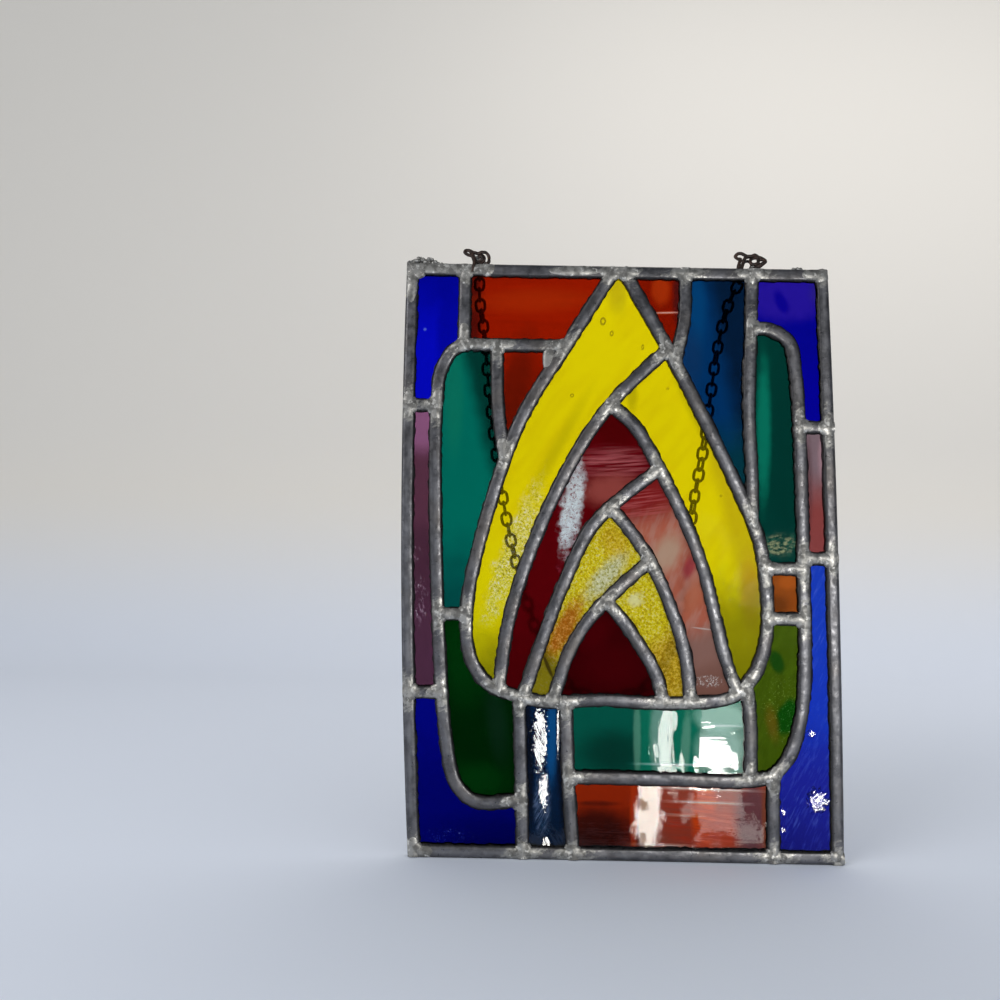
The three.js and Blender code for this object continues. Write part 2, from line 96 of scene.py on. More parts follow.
# Middle lines of the cames, as shares of the width from the middle line and of the height
CAMES = {
    "came_flame_left": [
        [-0.0055, 0.9943], [-0.1111, 0.8745], [-0.2384, 0.7224], [-0.341, 0.4943],
        [-0.3619, 0.4068], [-0.3559, 0.3346], [-0.3191, 0.289], [-0.2436, 0.2643],
    ],
    "came_flame_right": [
        [0.0156, 0.9943], [0.1339, 0.8365], [0.284, 0.6084], [0.3235, 0.5323], [0.3381, 0.4525],
        [0.3362, 0.3802], [0.3136, 0.3194], [0.2781, 0.2833],
    ],
    "came_flame_base": [
        [-0.2436, 0.2643], [-0.1754, 0.2578], [-0.0437, 0.2624], [0.0615, 0.2593],
        [0.1668, 0.2608], [0.2461, 0.27], [0.2846, 0.2886],
    ],
    "came_outer_arch_left": [
        [0.1162, 0.8574], [0.0543, 0.8167], [-0.0214, 0.7605], [-0.095, 0.6844],
        [-0.1768, 0.5703], [-0.2381, 0.4563], [-0.2682, 0.3764], [-0.2884, 0.2764],
    ],
    "came_outer_arch_right": [
        [-0.0213, 0.7624], [0.0404, 0.7205], [0.0959, 0.6483], [0.1469, 0.5703],
        [0.1869, 0.4943], [0.2127, 0.4183], [0.2359, 0.3422], [0.2653, 0.2783],
    ],
    "came_middle_arch_left": [
        [0.0934, 0.6521], [0.0102, 0.6065], [-0.069, 0.5513], [-0.1344, 0.4563],
        [-0.1765, 0.3802], [-0.2336, 0.2635],
    ],
    "came_middle_arch_right": [
        [-0.0237, 0.5852], [0.0188, 0.5494], [0.0685, 0.4943], [0.1143, 0.4183],
        [0.1449, 0.3422], [0.1568, 0.2608],
    ],
    "came_inner_arch_left": [
        [0.067, 0.4962], [0.0013, 0.4544], [-0.0759, 0.3973], [-0.123, 0.3422],
        [-0.1643, 0.2582],
    ],
    "came_inner_arch_right": [
        [-0.0375, 0.427], [-0.0073, 0.403], [0.0339, 0.3612], [0.0783, 0.3042], [0.0915, 0.2597],
    ],
    "came_bottom_left_upright": [[-0.2415, 0.2639], [-0.2385, 0.1521], [-0.2357, 0.0038]],
    "came_bottom_middle_upright": [[-0.1333, 0.2586], [-0.1295, 0.1369], [-0.1199, 0.0038]],
    "came_bottom_right_upright": [[0.3434, 0.146], [0.3391, 0.0038]],
    "came_left_border": [
        [-0.3495, 0.8605], [-0.3855, 0.8536], [-0.4183, 0.8175], [-0.4311, 0.7529],
        [-0.4299, 0.4183], [-0.4095, 0.1825], [-0.388, 0.1198], [-0.3442, 0.092],
        [-0.2389, 0.0951],
    ],
    "came_top_left_upright": [[-0.3607, 0.9962], [-0.3653, 0.8605]],
    "came_top_left_rail": [[-0.3495, 0.8605], [-0.1248, 0.8605]],
    "came_triangle_upright": [[-0.2864, 0.8605], [-0.2861, 0.7605], [-0.2718, 0.6692]],
    "came_left_upper_step": [[-0.5058, 0.7548], [-0.4294, 0.7548]],
    "came_left_lower_step": [[-0.5092, 0.27], [-0.4202, 0.27]],
    "came_green_top": [[-0.4284, 0.4011], [-0.361, 0.4011]],
    "came_top_right_upright": [
        [0.3209, 0.9962], [0.3165, 0.9125], [0.3065, 0.7605], [0.3099, 0.6274], [0.3069, 0.5696],
    ],
    "came_top_middle_upright": [[0.162, 0.9962], [0.1586, 0.9125], [0.1349, 0.8365]],
    "came_right_border": [
        [0.3164, 0.8958], [0.357, 0.8958], [0.4036, 0.8745], [0.4177, 0.8251], [0.4253, 0.4943],
        [0.4138, 0.251], [0.3769, 0.1696], [0.3363, 0.1388],
    ],
    "came_bottom_rail": [[-0.1291, 0.1346], [0.1098, 0.1338], [0.2677, 0.1327], [0.3417, 0.1407]],
    "came_teal_end_upright": [[0.2872, 0.2859], [0.2936, 0.2281], [0.2903, 0.1331]],
    "came_right_upper_step": [[0.417, 0.7281], [0.5039, 0.7281]],
    "came_right_lower_step": [[0.4246, 0.5049], [0.5015, 0.5049]],
    "came_amber_top": [[0.3351, 0.4867], [0.4245, 0.4867]],
    "came_amber_bottom": [[0.3369, 0.403], [0.4233, 0.403]],
}

# The frame's sides: the corners that each runs between, how far it swells in the middle, and how
# far it stops short of the corners
CORNERS = {
    "bottom_left": (-0.5, 0), "bottom_right": (0.5, 0),
    "top_right": (0.5, 1), "top_left": (-0.5, 1),
}
SIDES = {
    "frame_left": ("top_left", "bottom_left", LEFT_BOW, 0.0),
    "frame_right": ("bottom_right", "top_right", RIGHT_BOW, 0.0),
    "frame_top": ("top_right", "top_left", 0.0, 0.0045),
    "frame_bottom": ("bottom_left", "bottom_right", 0.0, 0.0045),
}

# The slack chain's route, and how it leaves the two eyes
CHAIN_BEHIND = 0.0066
CHAIN_LEAVES_LEFT = [[0.057, -0.457, 0.6], [0.071, -1.157, 0.95]]
CHAIN_LEAVES_RIGHT = [[-0.114, -0.486, 0.6], [-0.4, -1.229, 0.95]]
CHAIN_ROUTE = [
    [-0.3281, 0.9468], [-0.3189, 0.8935], [-0.306, 0.7795], [-0.2826, 0.6312], [-0.2549, 0.519],
    [-0.2149, 0.4106], [-0.1705, 0.3232], [-0.1085, 0.2757], [-0.0263, 0.2624], [0.057, 0.2814],
    [0.1141, 0.3346], [0.1479, 0.4297], [0.1782, 0.5932], [0.2022, 0.6806], [0.2229, 0.7757],
    [0.2427, 0.8631], [0.2717, 0.943],
]


def size(name, default, description):
    """A length that the panel lists."""
    return FloatProperty(name=name, description=description, default=default, min=0.0,
                         unit="LENGTH", precision=5)


def colour(name, default, description):
    """A colour that the panel lists, in linear light."""
    return FloatVectorProperty(name=name, description=description, default=default, size=3,
                               min=0.0, max=1.0, subtype="COLOR")


def brightness(name, default, description, unit="POWER", subtype="NONE"):
    """A lamp's power, or another brightness, that the panel lists."""
    return FloatProperty(name=name, description=description, default=default, min=0.0, unit=unit,
                         subtype=subtype)


class LeadSizes(bpy.types.PropertyGroup):
    came_face: size("Came face", 0.0052, "Width of an inner came's flange")
    came_thickness: size("Came thickness", 0.0050, "Thickness over both crowns")
    came_heart: size("Heart", 0.0014, "Width of the came's web between the panes")
    frame_face: size("Frame face", 0.0052, "Width of the frame lead's face")
    frame_wall: size("Frame wall", 0.0016, "Wall of the frame lead outside the glass")
    channel: size("Channel", 0.0034, "Opening of the channel that holds the glass")
    glass: size("Glass", 0.0028, "Thickness of the panes")
    cement: size("Cement", 0.00048, "Width of the cement line along the lead")
    ripple: size("Ripple", 0.00013, "How uneven the worked lead is")
    step: size("Step", 0.0011, "Length between two sections of a came")
    solder_height: size("Solder height", 0.00028, "How far solder stands above the crown")
    tinned: size("Tinned length", 0.0135, "How far from a joint the lead is still tinned")
    solder_reach: size("Solder reach", 0.0100, "How far solder runs along a came from its end")


class WireSizes(bpy.types.PropertyGroup):
    eye_wire: size("Eye wire", 0.00155, "Diameter of the wire of the two eyes")
    link_wire: size("Link wire", 0.0010, "Diameter that the links are set out for")
    link_face: size("Link face", 0.00140, "Diameter of the chain's wire with its rust")
    link_length: size("Link length", 0.0069, "Outside length of a chain link")
    link_width: size("Link width", 0.0052, "Outside width that a link is set out for")
    link_press: size("Link press", 0.00015, "How far two links' wires bed into each other")


class Finishes(bpy.types.PropertyGroup):
    lead: colour("Lead", (0.118, 0.118, 0.128), "Dull lead on the crown")
    # Painted shade on the flanks of the crown, towards its edges
    lead_dark: colour("Dark lead", (0.050, 0.048, 0.050), "Lead near its edges and in its hollows")
    solder: colour("Solder", (0.40, 0.39, 0.365), "Solder at the joints")
    cement: colour("Cement", (0.012, 0.010, 0.009), "Cement and grime along the lead")
    wire: colour("Wire", (0.022, 0.015, 0.012), "Oxidised iron wire")
    cobalt: colour("Cobalt", (0.002, 0.004, 0.74), "Cobalt pane, top left")
    red: colour("Red", (0.36, 0.012, 0.0007), "Orange red panes")
    teal: colour("Teal", (0.0005, 0.200, 0.155), "Deep teal panes")
    purple: colour("Purple", (0.135, 0.045, 0.085), "Purple pane, left")
    dark_green: colour("Dark green", (0.0005, 0.020, 0.002), "Darkest green pane")
    navy: colour("Navy", (0.001, 0.002, 0.185), "Navy pane, bottom left")
    yellow: colour("Yellow", (1.0, 0.86, 0.002), "Bright yellow panes")
    ruby: colour("Ruby", (0.150, 0.0012, 0.004), "Ruby pane")
    grainy_yellow: colour("Grainy yellow", (1.0, 0.87, 0.008), "Grainy amber yellow panes")
    maroon: colour("Maroon", (0.062, 0.0004, 0.002), "Maroon pane")
    salmon: colour("Salmon", (0.62, 0.17, 0.10), "Streaked salmon pane")
    steel_blue: colour("Steel blue", (0.001, 0.041, 0.170), "Steel blue pane")
    violet: colour("Violet", (0.002, 0.002, 0.36), "Violet pane, top right")
    mauve: colour("Mauve", (0.27, 0.19, 0.23), "Mauve pane, right")
    amber: colour("Amber", (0.36, 0.080, 0.010), "Brown amber pane")
    olive: colour("Olive", (0.066, 0.115, 0.004), "Olive pane")
    blue: colour("Blue", (0.004, 0.042, 0.62), "Bright blue pane, right")
    sea_green: colour("Sea green", (0.0005, 0.115, 0.070), "Sea green pane, bottom")
    orange: colour("Orange", (0.42, 0.026, 0.002), "Orange red pane, bottom")
    ribbed: colour("Ribbed blue", (0.0005, 0.016, 0.055), "Ribbed blue strip")


class StageSettings(bpy.types.PropertyGroup):
    floor: colour("Floor", (0.75, 0.80, 0.91), "Floor")
    wall_tone: colour("Backdrop", (0.84, 0.80, 0.74), "Backdrop above the floor")
    fill: brightness("Fill", 0.56, "Brightness of the light from all round", "NONE", "FACTOR")
    key: brightness("Key light", 3.2, "Power of the soft light from the upper left")
    strip: brightness("Strip light", 1.0, "Power of the narrow light at the left")
    wall: brightness("Wall light", 2.4, "Power of the light on the backdrop")
    glint: brightness("Window light", 110.0, "Radiance of the small window-shaped lights", "NONE")
    backdrop: size("Backdrop distance", 0.85, "How far the backdrop stands behind the panel")


GROUPS = {
    "lead_sizes": LeadSizes, "wire_sizes": WireSizes, "finishes": Finishes,
    "stage_settings": StageSettings,
}


def settings(group):
    """The property group of that name on the current scene."""
    return getattr(bpy.context.scene, group)


# Shapes

def place(points):
    """Drawing shares to the flat panel: across times the width less the lean's share, and up
    times the height."""
    points = np.asarray(points, float)
    across, up = points[..., 0], points[..., 1]
    return np.stack([across * PANEL_WIDTH - up * TOP_LEAN, up * PANEL_HEIGHT], axis=-1)


def stand_up(points):
    """Flat panel to the solids' frame: x shifts by the lean, up counts from the top edge, the
    viewer is at -Y."""
    across, up, near = points[..., 0], points[..., 1], points[..., 2]
    return np.stack([across + TOP_LEAN, -near, up - PANEL_HEIGHT], axis=-1)


def lumps(points, cell, seed):
    """Smooth random numbers from -1 to 1. Every corner of a cubic lattice of that cell has a
    fixed random value, hashed from its place, and inside a cell the eight values are blended with
    3t^2 - 2t^3 of the place in it."""
    where = points / cell + seed * 17.31
    low = np.floor(where).astype(np.int64)
    part = where - low
    blend = part * part * (3 - 2 * part)
    total = np.zeros(points.shape[:-1])
    for corner in np.ndindex(2, 2, 2):
        at = low + np.array(corner)
        mixed = (at[..., 0] * 73856093) ^ (at[..., 1] * 19349663) ^ (at[..., 2] * 83492791)
        mixed = ((mixed ^ (mixed >> 13)) * 1274126177) & 0xFFFFFFFF
        value = ((mixed ^ (mixed >> 16)) & 0xFFFF) / 32767.5 - 1
        total += value * np.prod(np.where(np.array(corner) == 1, blend, 1 - blend), axis=-1)
    return total


def smooth_line(points, per_span):
    """Centripetal Catmull-Rom curve: each span is a cubic between two points whose end slopes
    come from the neighbours, weighed by the square roots of the distances. The end points are
    mirrored to start and finish it."""
    points = np.asarray(points, float)
    padded = np.vstack([2 * points[:1] - points[1:2], points, 2 * points[-1:] - points[-2:-1]])
    gaps = np.sqrt(np.linalg.norm(np.diff(padded, axis=0), axis=1))[:, None]
    before, at, after, beyond = padded[:-3], padded[1:-2], padded[2:-1], padded[3:]
    d0, d1, d2 = gaps[:-2], gaps[1:-1], gaps[2:]
    leave = ((at - before) / d0 - (after - before) / (d0 + d1) + (after - at) / d1) * d1
    arrive = ((after - at) / d1 - (beyond - at) / (d1 + d2) + (beyond - after) / d2) * d1
    t = (np.arange(per_span) / per_span)[None, :, None]
    at, after, leave, arrive = (part[:, None, :] for part in (at, after, leave, arrive))
    spans = at + leave * t + (3 * (after - at) - 2 * leave - arrive) * t ** 2 \
        + (2 * (at - after) + leave + arrive) * t ** 3
    return np.vstack([spans.reshape(-1, points.shape[1]), points[-1:]])


def lengths(line):
    """Distance along a line of points from its start to each of them."""
    return np.concatenate([[0], np.cumsum(np.linalg.norm(np.diff(line, axis=0), axis=1))])


def evenly(line, distances):
    """Points at the given distances along a line, in between its points in proportion."""
    along = lengths(line)
    return np.stack([np.interp(distances, along, column) for column in line.T], axis=-1)


def straight_past(line, distances):
    """As evenly(), and carried on straight where a distance lies before the start or past the
    end."""
    total = lengths(line)[-1]
    inside = evenly(line, np.clip(distances, 0, total))
    before, past = np.minimum(distances, 0)[:, None], np.maximum(distances - total, 0)[:, None]
    first = (line[1] - line[0]) / np.linalg.norm(line[1] - line[0])
    last = (line[-1] - line[-2]) / np.linalg.norm(line[-1] - line[-2])
    return inside + before * first + past * last


def directions(line):
    """Unit tangent at each point of a line, from its neighbours."""
    slope = np.gradient(line, axis=0)
    return slope / np.linalg.norm(slope, axis=1, keepdims=True)


def carry(line, sections):
    """A section carried along a flat line: its first number runs to the line's left, its second
    to the viewer."""
    along = directions(line)
    left = np.stack([-along[:, 1], along[:, 0]], axis=-1)
    flat = line[:, None, :] + sections[..., 0:1] * left[:, None, :]
    return np.concatenate([flat, sections[..., 1:2]], axis=-1)


def wire(line, radius, sides=10, closed=False):
    """Round wire: a circle at every point of the line, square to it, with its zero direction
    carried from point to point by taking away what lies along the new tangent."""
    if closed:
        slope = np.roll(line, -1, axis=0) - np.roll(line, 1, axis=0)
    else:
        slope = np.gradient(line, axis=0)
    along = slope / np.linalg.norm(slope, axis=1, keepdims=True)
    guide = np.array([0.31, 0.17, 0.93])
    side = guide - (along @ guide)[:, None] * along
    side /= np.linalg.norm(side, axis=1, keepdims=True)
    across = np.cross(along, side)
    turn = np.arange(sides) * 2 * math.pi / sides
    cosine, sine = np.cos(turn)[None, :, None], np.sin(turn)[None, :, None]
    ring = cosine * side[:, None, :] + sine * across[:, None, :]
    return line[:, None, :] + ring * np.broadcast_to(radius, (len(line),))[:, None, None]


def grid_faces(rings, around, closed, first=0):
    """Quads between the rings of a grid, whose vertices are counted ring by ring."""
    index = np.arange(rings * around).reshape(rings, around) + first
    here = index if closed else index[:-1]
    there = np.roll(index, -1, axis=0) if closed else index[1:]
    quads = np.stack([here, np.roll(here, -1, axis=1), np.roll(there, -1, axis=1), there], axis=-1)
    return quads.reshape(-1, 4).tolist()


def build(name, shells, material, replaced=(), values=None):
    """One mesh from closed shells. A shell is (grid, closed): a grid of rings, each ring closed
    on itself, and the last ring joined to the first where it is closed, or both ends filled with
    a flat face."""
    points, faces, first = [], [], 0
    for grid, closed in shells:
        rings, around = grid.shape[:2]
        points.append(grid.reshape(-1, 3))
        faces += grid_faces(rings, around, closed, first)
        if not closed:
            faces.append(list(range(first, first + around)))
            faces.append(list(range(first + (rings - 1) * around, first + rings * around)))
        first += rings * around
    mesh = bpy.data.meshes.new(name)
    mesh.from_pydata(stand_up(np.vstack(points)), [], faces)
    for key, arrays in (values or {}).items():
        flat = np.concatenate([array.reshape(-1) for array in arrays]).astype(np.float32)
        mesh.attributes.new(key, "FLOAT", "POINT").data.foreach_set("value", flat)
    work = bmesh.new()
    work.from_mesh(mesh)
    bmesh.ops.recalc_face_normals(work, faces=work.faces)
    work.to_mesh(mesh)
    work.free()
    mesh.polygons.foreach_set("use_smooth", np.ones(len(mesh.polygons), bool))
    mesh.set_sharp_from_angle(angle=SHARP_ANGLE)
    mesh.materials.append(material)
    piece = bpy.data.objects.new(name, mesh)
    bpy.context.scene.collection.objects.link(piece)
    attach(piece, "root")
    if replaced:
        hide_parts(*replaced)
    return piece


# Materials

class Finish:
    """A node material, with short ways to make the patterns that the finishes share. Patterns
    read Object coordinates. Places and sizes of patterns are given in millimetres on the flat
    drawing."""

    def __init__(self, name):
        self.material = bpy.data.materials.new("finish_" + name)
        self.material.use_nodes = True
        self.tree = self.material.node_tree
        self.shader = self.tree.nodes["Principled BSDF"]
        self.object = self.tree.nodes.new("ShaderNodeTexCoord").outputs["Object"]

    def node(self, kind, **inputs):
        """A new node. A name with set_ in front is a property, i and a number is that input, and
        any other name is the input called that."""
        made = self.tree.nodes.new(kind)
        for key, value in inputs.items():
            if key.startswith("set_"):
                setattr(made, key[4:], value)
        for key, value in inputs.items():
            if not key.startswith("set_"):
                self.feed(made.inputs[int(key[1:])] if key[0] == "i" and key[1:].isdigit() else
                          made.inputs[key.replace("_", " ")], value)
        return made

    def feed(self, socket, value):
        """Links a socket to the input, or sets the input to a plain value."""
        if isinstance(value, bpy.types.NodeSocket):
            self.tree.links.new(value, socket)
        else:
            socket.default_value = value

    def local(self, x, y, width, height, turn=0.0, depth=1.0):
        """Object coordinates measured from a spot of the drawing, in units of the given half
        sizes."""
        return self.node("ShaderNodeMapping", set_vector_type="TEXTURE", Vector=self.object,
                         Location=(x * MM + TOP_LEAN, 0.0, y * MM - PANEL_HEIGHT),
                         Rotation=(0.0, -math.radians(turn), 0.0),
                         Scale=(width * MM, depth, height * MM)).outputs["Vector"]

    def noise(self, width, height=None, turn=0.0, detail=2.0, rough=0.5, seed=0.0):
        """Noise whose lumps have about that width and height on the drawing."""
        height = height or width
        spot = self.local(seed * 37.0, seed * 53.0, width, height, turn, min(width, height) * MM)
        return self.node("ShaderNodeTexNoise", Vector=spot, Scale=1.0, Detail=detail,
                         Roughness=rough).outputs["Fac"]

    def ramp(self, value, low, high, to_low=0.0, to_high=1.0):
        """Smooth step of a value between two limits."""
        return self.node("ShaderNodeMapRange", set_interpolation_type="SMOOTHSTEP", Value=value,
                         From_Min=low, From_Max=high, To_Min=to_low,
                         To_Max=to_high).outputs["Result"]

    def math(self, operation, a, b=0.0):
        """A sum, product or other reckoning with two values."""
        return self.node("ShaderNodeMath", set_operation=operation, i0=a, i1=b).outputs[0]

    def mix(self, share, a, b):
        """Two colours mixed, by the share of the second."""
        made = self.tree.nodes.new("ShaderNodeMix")
        made.data_type = "RGBA"
        for socket, value in ((made.inputs[0], share), (made.inputs[6], a), (made.inputs[7], b)):
            self.feed(socket, tuple(value) + (1.0,) if isinstance(value, (tuple, list)) else value)
        return made.outputs[2]

    def mottle(self, under, over, low, high, share, *sizes, **more):
        """Blotches of another colour, where noise of those sizes rises from low to high."""
        return self.mix(self.ramp(self.noise(*sizes, **more), low, high, 0.0, share), under, over)

    def attribute(self, name):
        """A value that the mesh carries at its points."""
        return self.node("ShaderNodeAttribute", set_attribute_name=name).outputs["Fac"]

    def uneven(self, cell, reach):
        """Noise round zero, half the reach to either side."""
        return self.math("MULTIPLY", self.math("SUBTRACT", self.noise(cell), 0.5), reach)

    def distance(self, x, y, width, height, turn=0.0, ragged=0.0, cell=3.0):
        """Distance from a spot, 1 on an ellipse of those half sizes, roughened by noise."""
        far = self.node("ShaderNodeVectorMath", set_operation="LENGTH",
                        i0=self.local(x, y, width, height, turn)).outputs["Value"]
        return self.math("ADD", far, self.uneven(cell, ragged)) if ragged else far

    def within(self, share, x, y, width, height, turn=0.0, soft=0.3, ragged=0.3, cell=5.0):
        """A share that holds on one patch and falls to nothing outside."""
        far = self.distance(x, y, width, height, turn, ragged, cell)
        return self.math("MULTIPLY", self.ramp(far, 1 - soft, 1 + soft, 1.0, 0.0), share)

    def bump(self, *heights):
        """Adds the heights, in metres, and feeds them to the shader's normal."""
        total = heights[0]
        for more in heights[1:]:
            total = self.math("ADD", total, more)
        made = self.node("ShaderNodeBump", Height=total, Strength=1.0, Distance=1.0)
        self.feed(self.shader.inputs["Normal"], made.outputs["Normal"])

    def scaled(self, value, height):
        """A pattern from 0 to 1 as a height in millimetres."""
        return self.math("MULTIPLY", value, height * MM)

    def ripple(self, height, *sizes, **more):
        """Noise of those sizes as a height in millimetres."""
        return self.scaled(self.noise(*sizes, **more), height)

    def tilt(self, right, up, spot=None):
        """Height of a plane that faces that much to the right and up, for glass that isn't quite
        flat: minus the place across times right, minus the place up times up."""
        parts = self.node("ShaderNodeSeparateXYZ", Vector=spot or self.object)
        return self.math("SUBTRACT", self.math("MULTIPLY", parts.outputs["X"], -right),
                         self.math("MULTIPLY", parts.outputs["Z"], up))

    def facet(self, x, y, width, height, right, up):
        """A small patch of the surface that faces that much to the right and up."""
        plane = self.tilt(right, up, self.local(x, y, 1000.0, 1000.0))
        inside = self.within(1.0, x, y, width, height, 0.0, 0.12, 2.2, 1.6)
        return self.math("MULTIPLY", plane, inside)

    def set(self, **plain):
        """Values that are the same all over the surface, set on the shader's own sockets."""
        for key, value in plain.items():
            self.shader.inputs[key.replace("_", " ")].default_value = value


class Pane(Finish):
    """A pane's glass: a clear shader of that roughness, share of clear glass and strength of its
    gloss, whose colour is laid on in layers over the base colour."""

    def __init__(self, name, base, rough=0.03, clear=1.0, gloss=0.0015):
        super().__init__(name)
        self.shade = base
        self.set(Roughness=rough, Transmission_Weight=clear, IOR=1.5, Metallic=0.0,
                 Specular_Tint=(gloss, gloss, gloss, 1.0))

    def lay(self, share, over):
        """Another colour over the pane's, by that share."""
        self.shade = self.mix(share, self.shade, over)

    def patch(self, over, x, y, width, height, turn=0.0, share=1.0, soft=0.4, ragged=0.5, cell=4.0):
        """A patch of another colour with a soft, uneven edge."""
        far = self.distance(x, y, width, height, turn, ragged, cell)
        self.lay(self.ramp(far, 1 - soft, 1 + soft, share, 0.0), over)

    def fade(self, over, start, end, share=1.0, ragged=0.12, cell=9.0):
        """A change of colour from one spot of the drawing to another."""
        across, up = end[0] - start[0], end[1] - start[1]
        spot = self.local(start[0], start[1], math.hypot(across, up), 1000.0,
                          math.degrees(math.atan2(up, across)))
        along = self.node("ShaderNodeSeparateXYZ", Vector=spot).outputs["X"]
        along = self.math("ADD", along, self.uneven(cell, ragged * 4))
        self.lay(self.ramp(along, 0.0, 1.0, 0.0, share), over)

    def streaked(self, under, over, length, width, turn=0.0, cover=0.5, share=1.0, soft=0.12,
                 seed=0.0):
        """A colour with long thin streaks of another one, which lie at an angle."""
        value = self.noise(length, width, turn, detail=3.0, seed=seed)
        return self.mix(self.ramp(value, cover - soft, cover + soft, 0.0, share), under, over)

    def streaks(self, over, *sizes, **more):
        """Streaks of another colour over the whole pane."""
        self.shade = self.streaked(self.shade, over, *sizes, **more)

    def specks(self, over, x, y, width, height, low, high, *sizes, **more):
        """Specks of another colour on one patch, where noise of those sizes is high."""
        self.lay(self.within(self.ramp(self.noise(*sizes, **more), low, high), x, y, width, height),
                 over)

    def done(self, *heights):
        """Ends the finish: its colour, and slow waves in the surface with what else is given."""
        self.feed(self.shader.inputs["Base Color"], self.shade)
        self.bump(self.ripple(0.22, 16, detail=1, seed=20),
                  self.ripple(0.012, 4, detail=2, seed=21), *heights)
        return self.material


def lead_finish():
    """Dull lead: greyer and smoother on the crown, part wear and part painted highlight, darker
    towards the edges with painted shade, with cement in the corner, and brighter where it is tinned
    near a joint."""
    use = settings("finishes")
    made = Finish("lead")
    across = made.attribute("across")
    patina = made.ramp(made.noise(7, 7, detail=4, rough=0.6, seed=1), 0.30, 0.70)
    grey = made.mix(patina, [c * 0.58 for c in use.lead], [c * 1.30 for c in use.lead])
    # The crown is painted lighter: part wear, part painted highlight
    crown_wear_and_highlight = made.math("MULTIPLY", made.ramp(across, 0.05, 0.50, 0.50, 0.0),
                     made.ramp(made.noise(9, seed=16), 0.38, 0.62))
    grey = made.mix(crown_wear_and_highlight, grey, (0.25, 0.25, 0.265))
    grey = made.mottle(grey, (0.155, 0.135, 0.118), 0.45, 0.75, 0.55, 26, 26, detail=2, seed=2)
    grey = made.mottle(grey, (0.30, 0.30, 0.31), 0.62, 0.78, 0.5, 1.6, 0.5, 20, detail=3, seed=3)
    ragged = made.math("MULTIPLY", made.math("SUBTRACT", made.noise(1.1, seed=4), 0.5), 0.34)
    ragged = made.math("ADD", across, ragged)
    near = made.math("MULTIPLY", made.attribute("tinned"), 0.55)
    spread = made.noise(3.2, 1.6, 30, detail=4, rough=0.65, seed=17)
    tinned = made.ramp(made.math("ADD", spread, near), 0.66, 0.86)
    tin = made.mix(made.noise(1.2, detail=3, seed=18), (0.15, 0.145, 0.13), (0.52, 0.51, 0.48))
    grey = made.mix(tinned, grey, tin)
    # Painted shade: the crown darkens towards its edges
    grey = made.mix(made.ramp(ragged, 0.56, 0.96, 0.0, 0.92), grey, tuple(use.lead_dark))
    grey = made.mix(made.ramp(ragged, 1.02, 1.08), grey, tuple(use.cement))
    made.feed(made.shader.inputs["Base Color"], grey)
    made.feed(made.shader.inputs["Roughness"],
              made.ramp(made.noise(2.5, seed=5, detail=3), 0.3, 0.7, 0.27, 0.50))
    made.set(Metallic=0.65, Specular_IOR_Level=0.5)
    made.bump(made.ripple(0.10, 2.2, detail=3, seed=6), made.ripple(0.035, 0.45, detail=2, seed=7))
    return made.material


def solder_finish():
    """Tin-lead solder: brighter than the lead, mottled with darker grey and pitted, with pale spots
    that are painted highlights.
    """
    use = settings("finishes")
    made = Finish("solder")
    mottle = made.noise(3.4, detail=3, rough=0.55, seed=8)
    grey = made.mix(made.ramp(mottle, 0.36, 0.62), [c * 0.40 for c in use.solder],
                    tuple(use.solder))
    # Painted highlights: pale spots that stand in for light caught on the solder
    grey = made.mottle(grey, (0.74, 0.73, 0.69), 0.56, 0.70, 0.8, 1.9, detail=2, seed=9)
    grey = made.mottle(grey, (0.055, 0.052, 0.050), 0.63, 0.74, 0.7, 1.1, detail=4, seed=10)
    made.feed(made.shader.inputs["Base Color"], grey)
    made.feed(made.shader.inputs["Roughness"], made.ramp(mottle, 0.3, 0.7, 0.55, 0.36))
    made.set(Metallic=0.65, Specular_IOR_Level=0.5)
    made.bump(made.ripple(0.10, 2.2, detail=2, seed=11), made.ripple(0.016, 0.6, detail=2, seed=12))
    return made.material


def wire_finish():
    """Oxidised iron: brown black with rusty spots, rubbed in places."""
    use = settings("finishes")
    made = Finish("dark_wire")
    shade = made.mottle(tuple(use.wire), (0.075, 0.040, 0.028), 0.35, 0.7, 1.0, 1.6, detail=4,
                        seed=13)
    shade = made.mottle(shade, (0.16, 0.15, 0.145), 0.60, 0.74, 0.6, 0.7, detail=3, seed=14)
    made.feed(made.shader.inputs["Base Color"], shade)
    made.set(Metallic=0.45, Roughness=0.48)
    made.bump(made.ripple(0.06, 0.5, detail=3, seed=15))
    return made.material


def tint(c, light):
    """The colour made lighter or darker."""
    return tuple(min(1.0, part * light) for part in c)


def glass_cobalt(c):
    made = Pane("glass_cobalt", c)
    made.fade(tint(c, 0.45), (-90, 225), (-88, 262), 0.8)
    made.patch(tint(c, 0.55), -82, 232, 5, 30, share=0.6)
    made.patch((0.10, 0.16, 0.85), -92.8, 233, 0.7, 0.7, soft=0.3)
    return made.done()


def glass_red(c):
    made = Pane("glass_red", c, clear=0.93)
    made.streaks(tint(c, 1.35), 46, 3.2, 2, 0.50, 0.55, seed=1)
    made.fade(tint(c, 0.50), (-30, 236), (-20, 226), 0.55)
    made.fade((0.070, 0.005, 0.004), (-65, 250), (-70, 250), 0.85)
    made.patch((0.50, 0.034, 0.003), -44, 247, 24, 5, 3, 0.6, 0.6)
    made.patch((0.14, 0.008, 0.002), -52, 206, 7, 24, -14, 0.75, 0.6)
    made.patch((0.085, 0.008, 0.008), 23, 250, 4.0, 16, 0, 0.9, 0.3)
    made.patch((0.60, 0.055, 0.006), 13.5, 253, 4, 7, 0, 0.6, 0.4)
    made.patch((0.95, 0.55, 0.48), 16, 242.4, 6.5, 0.42, 2, 0.85, 0.3, 0.2)
    return made.done(made.ripple(0.03, 30, 2.2, 2, detail=2, seed=2))


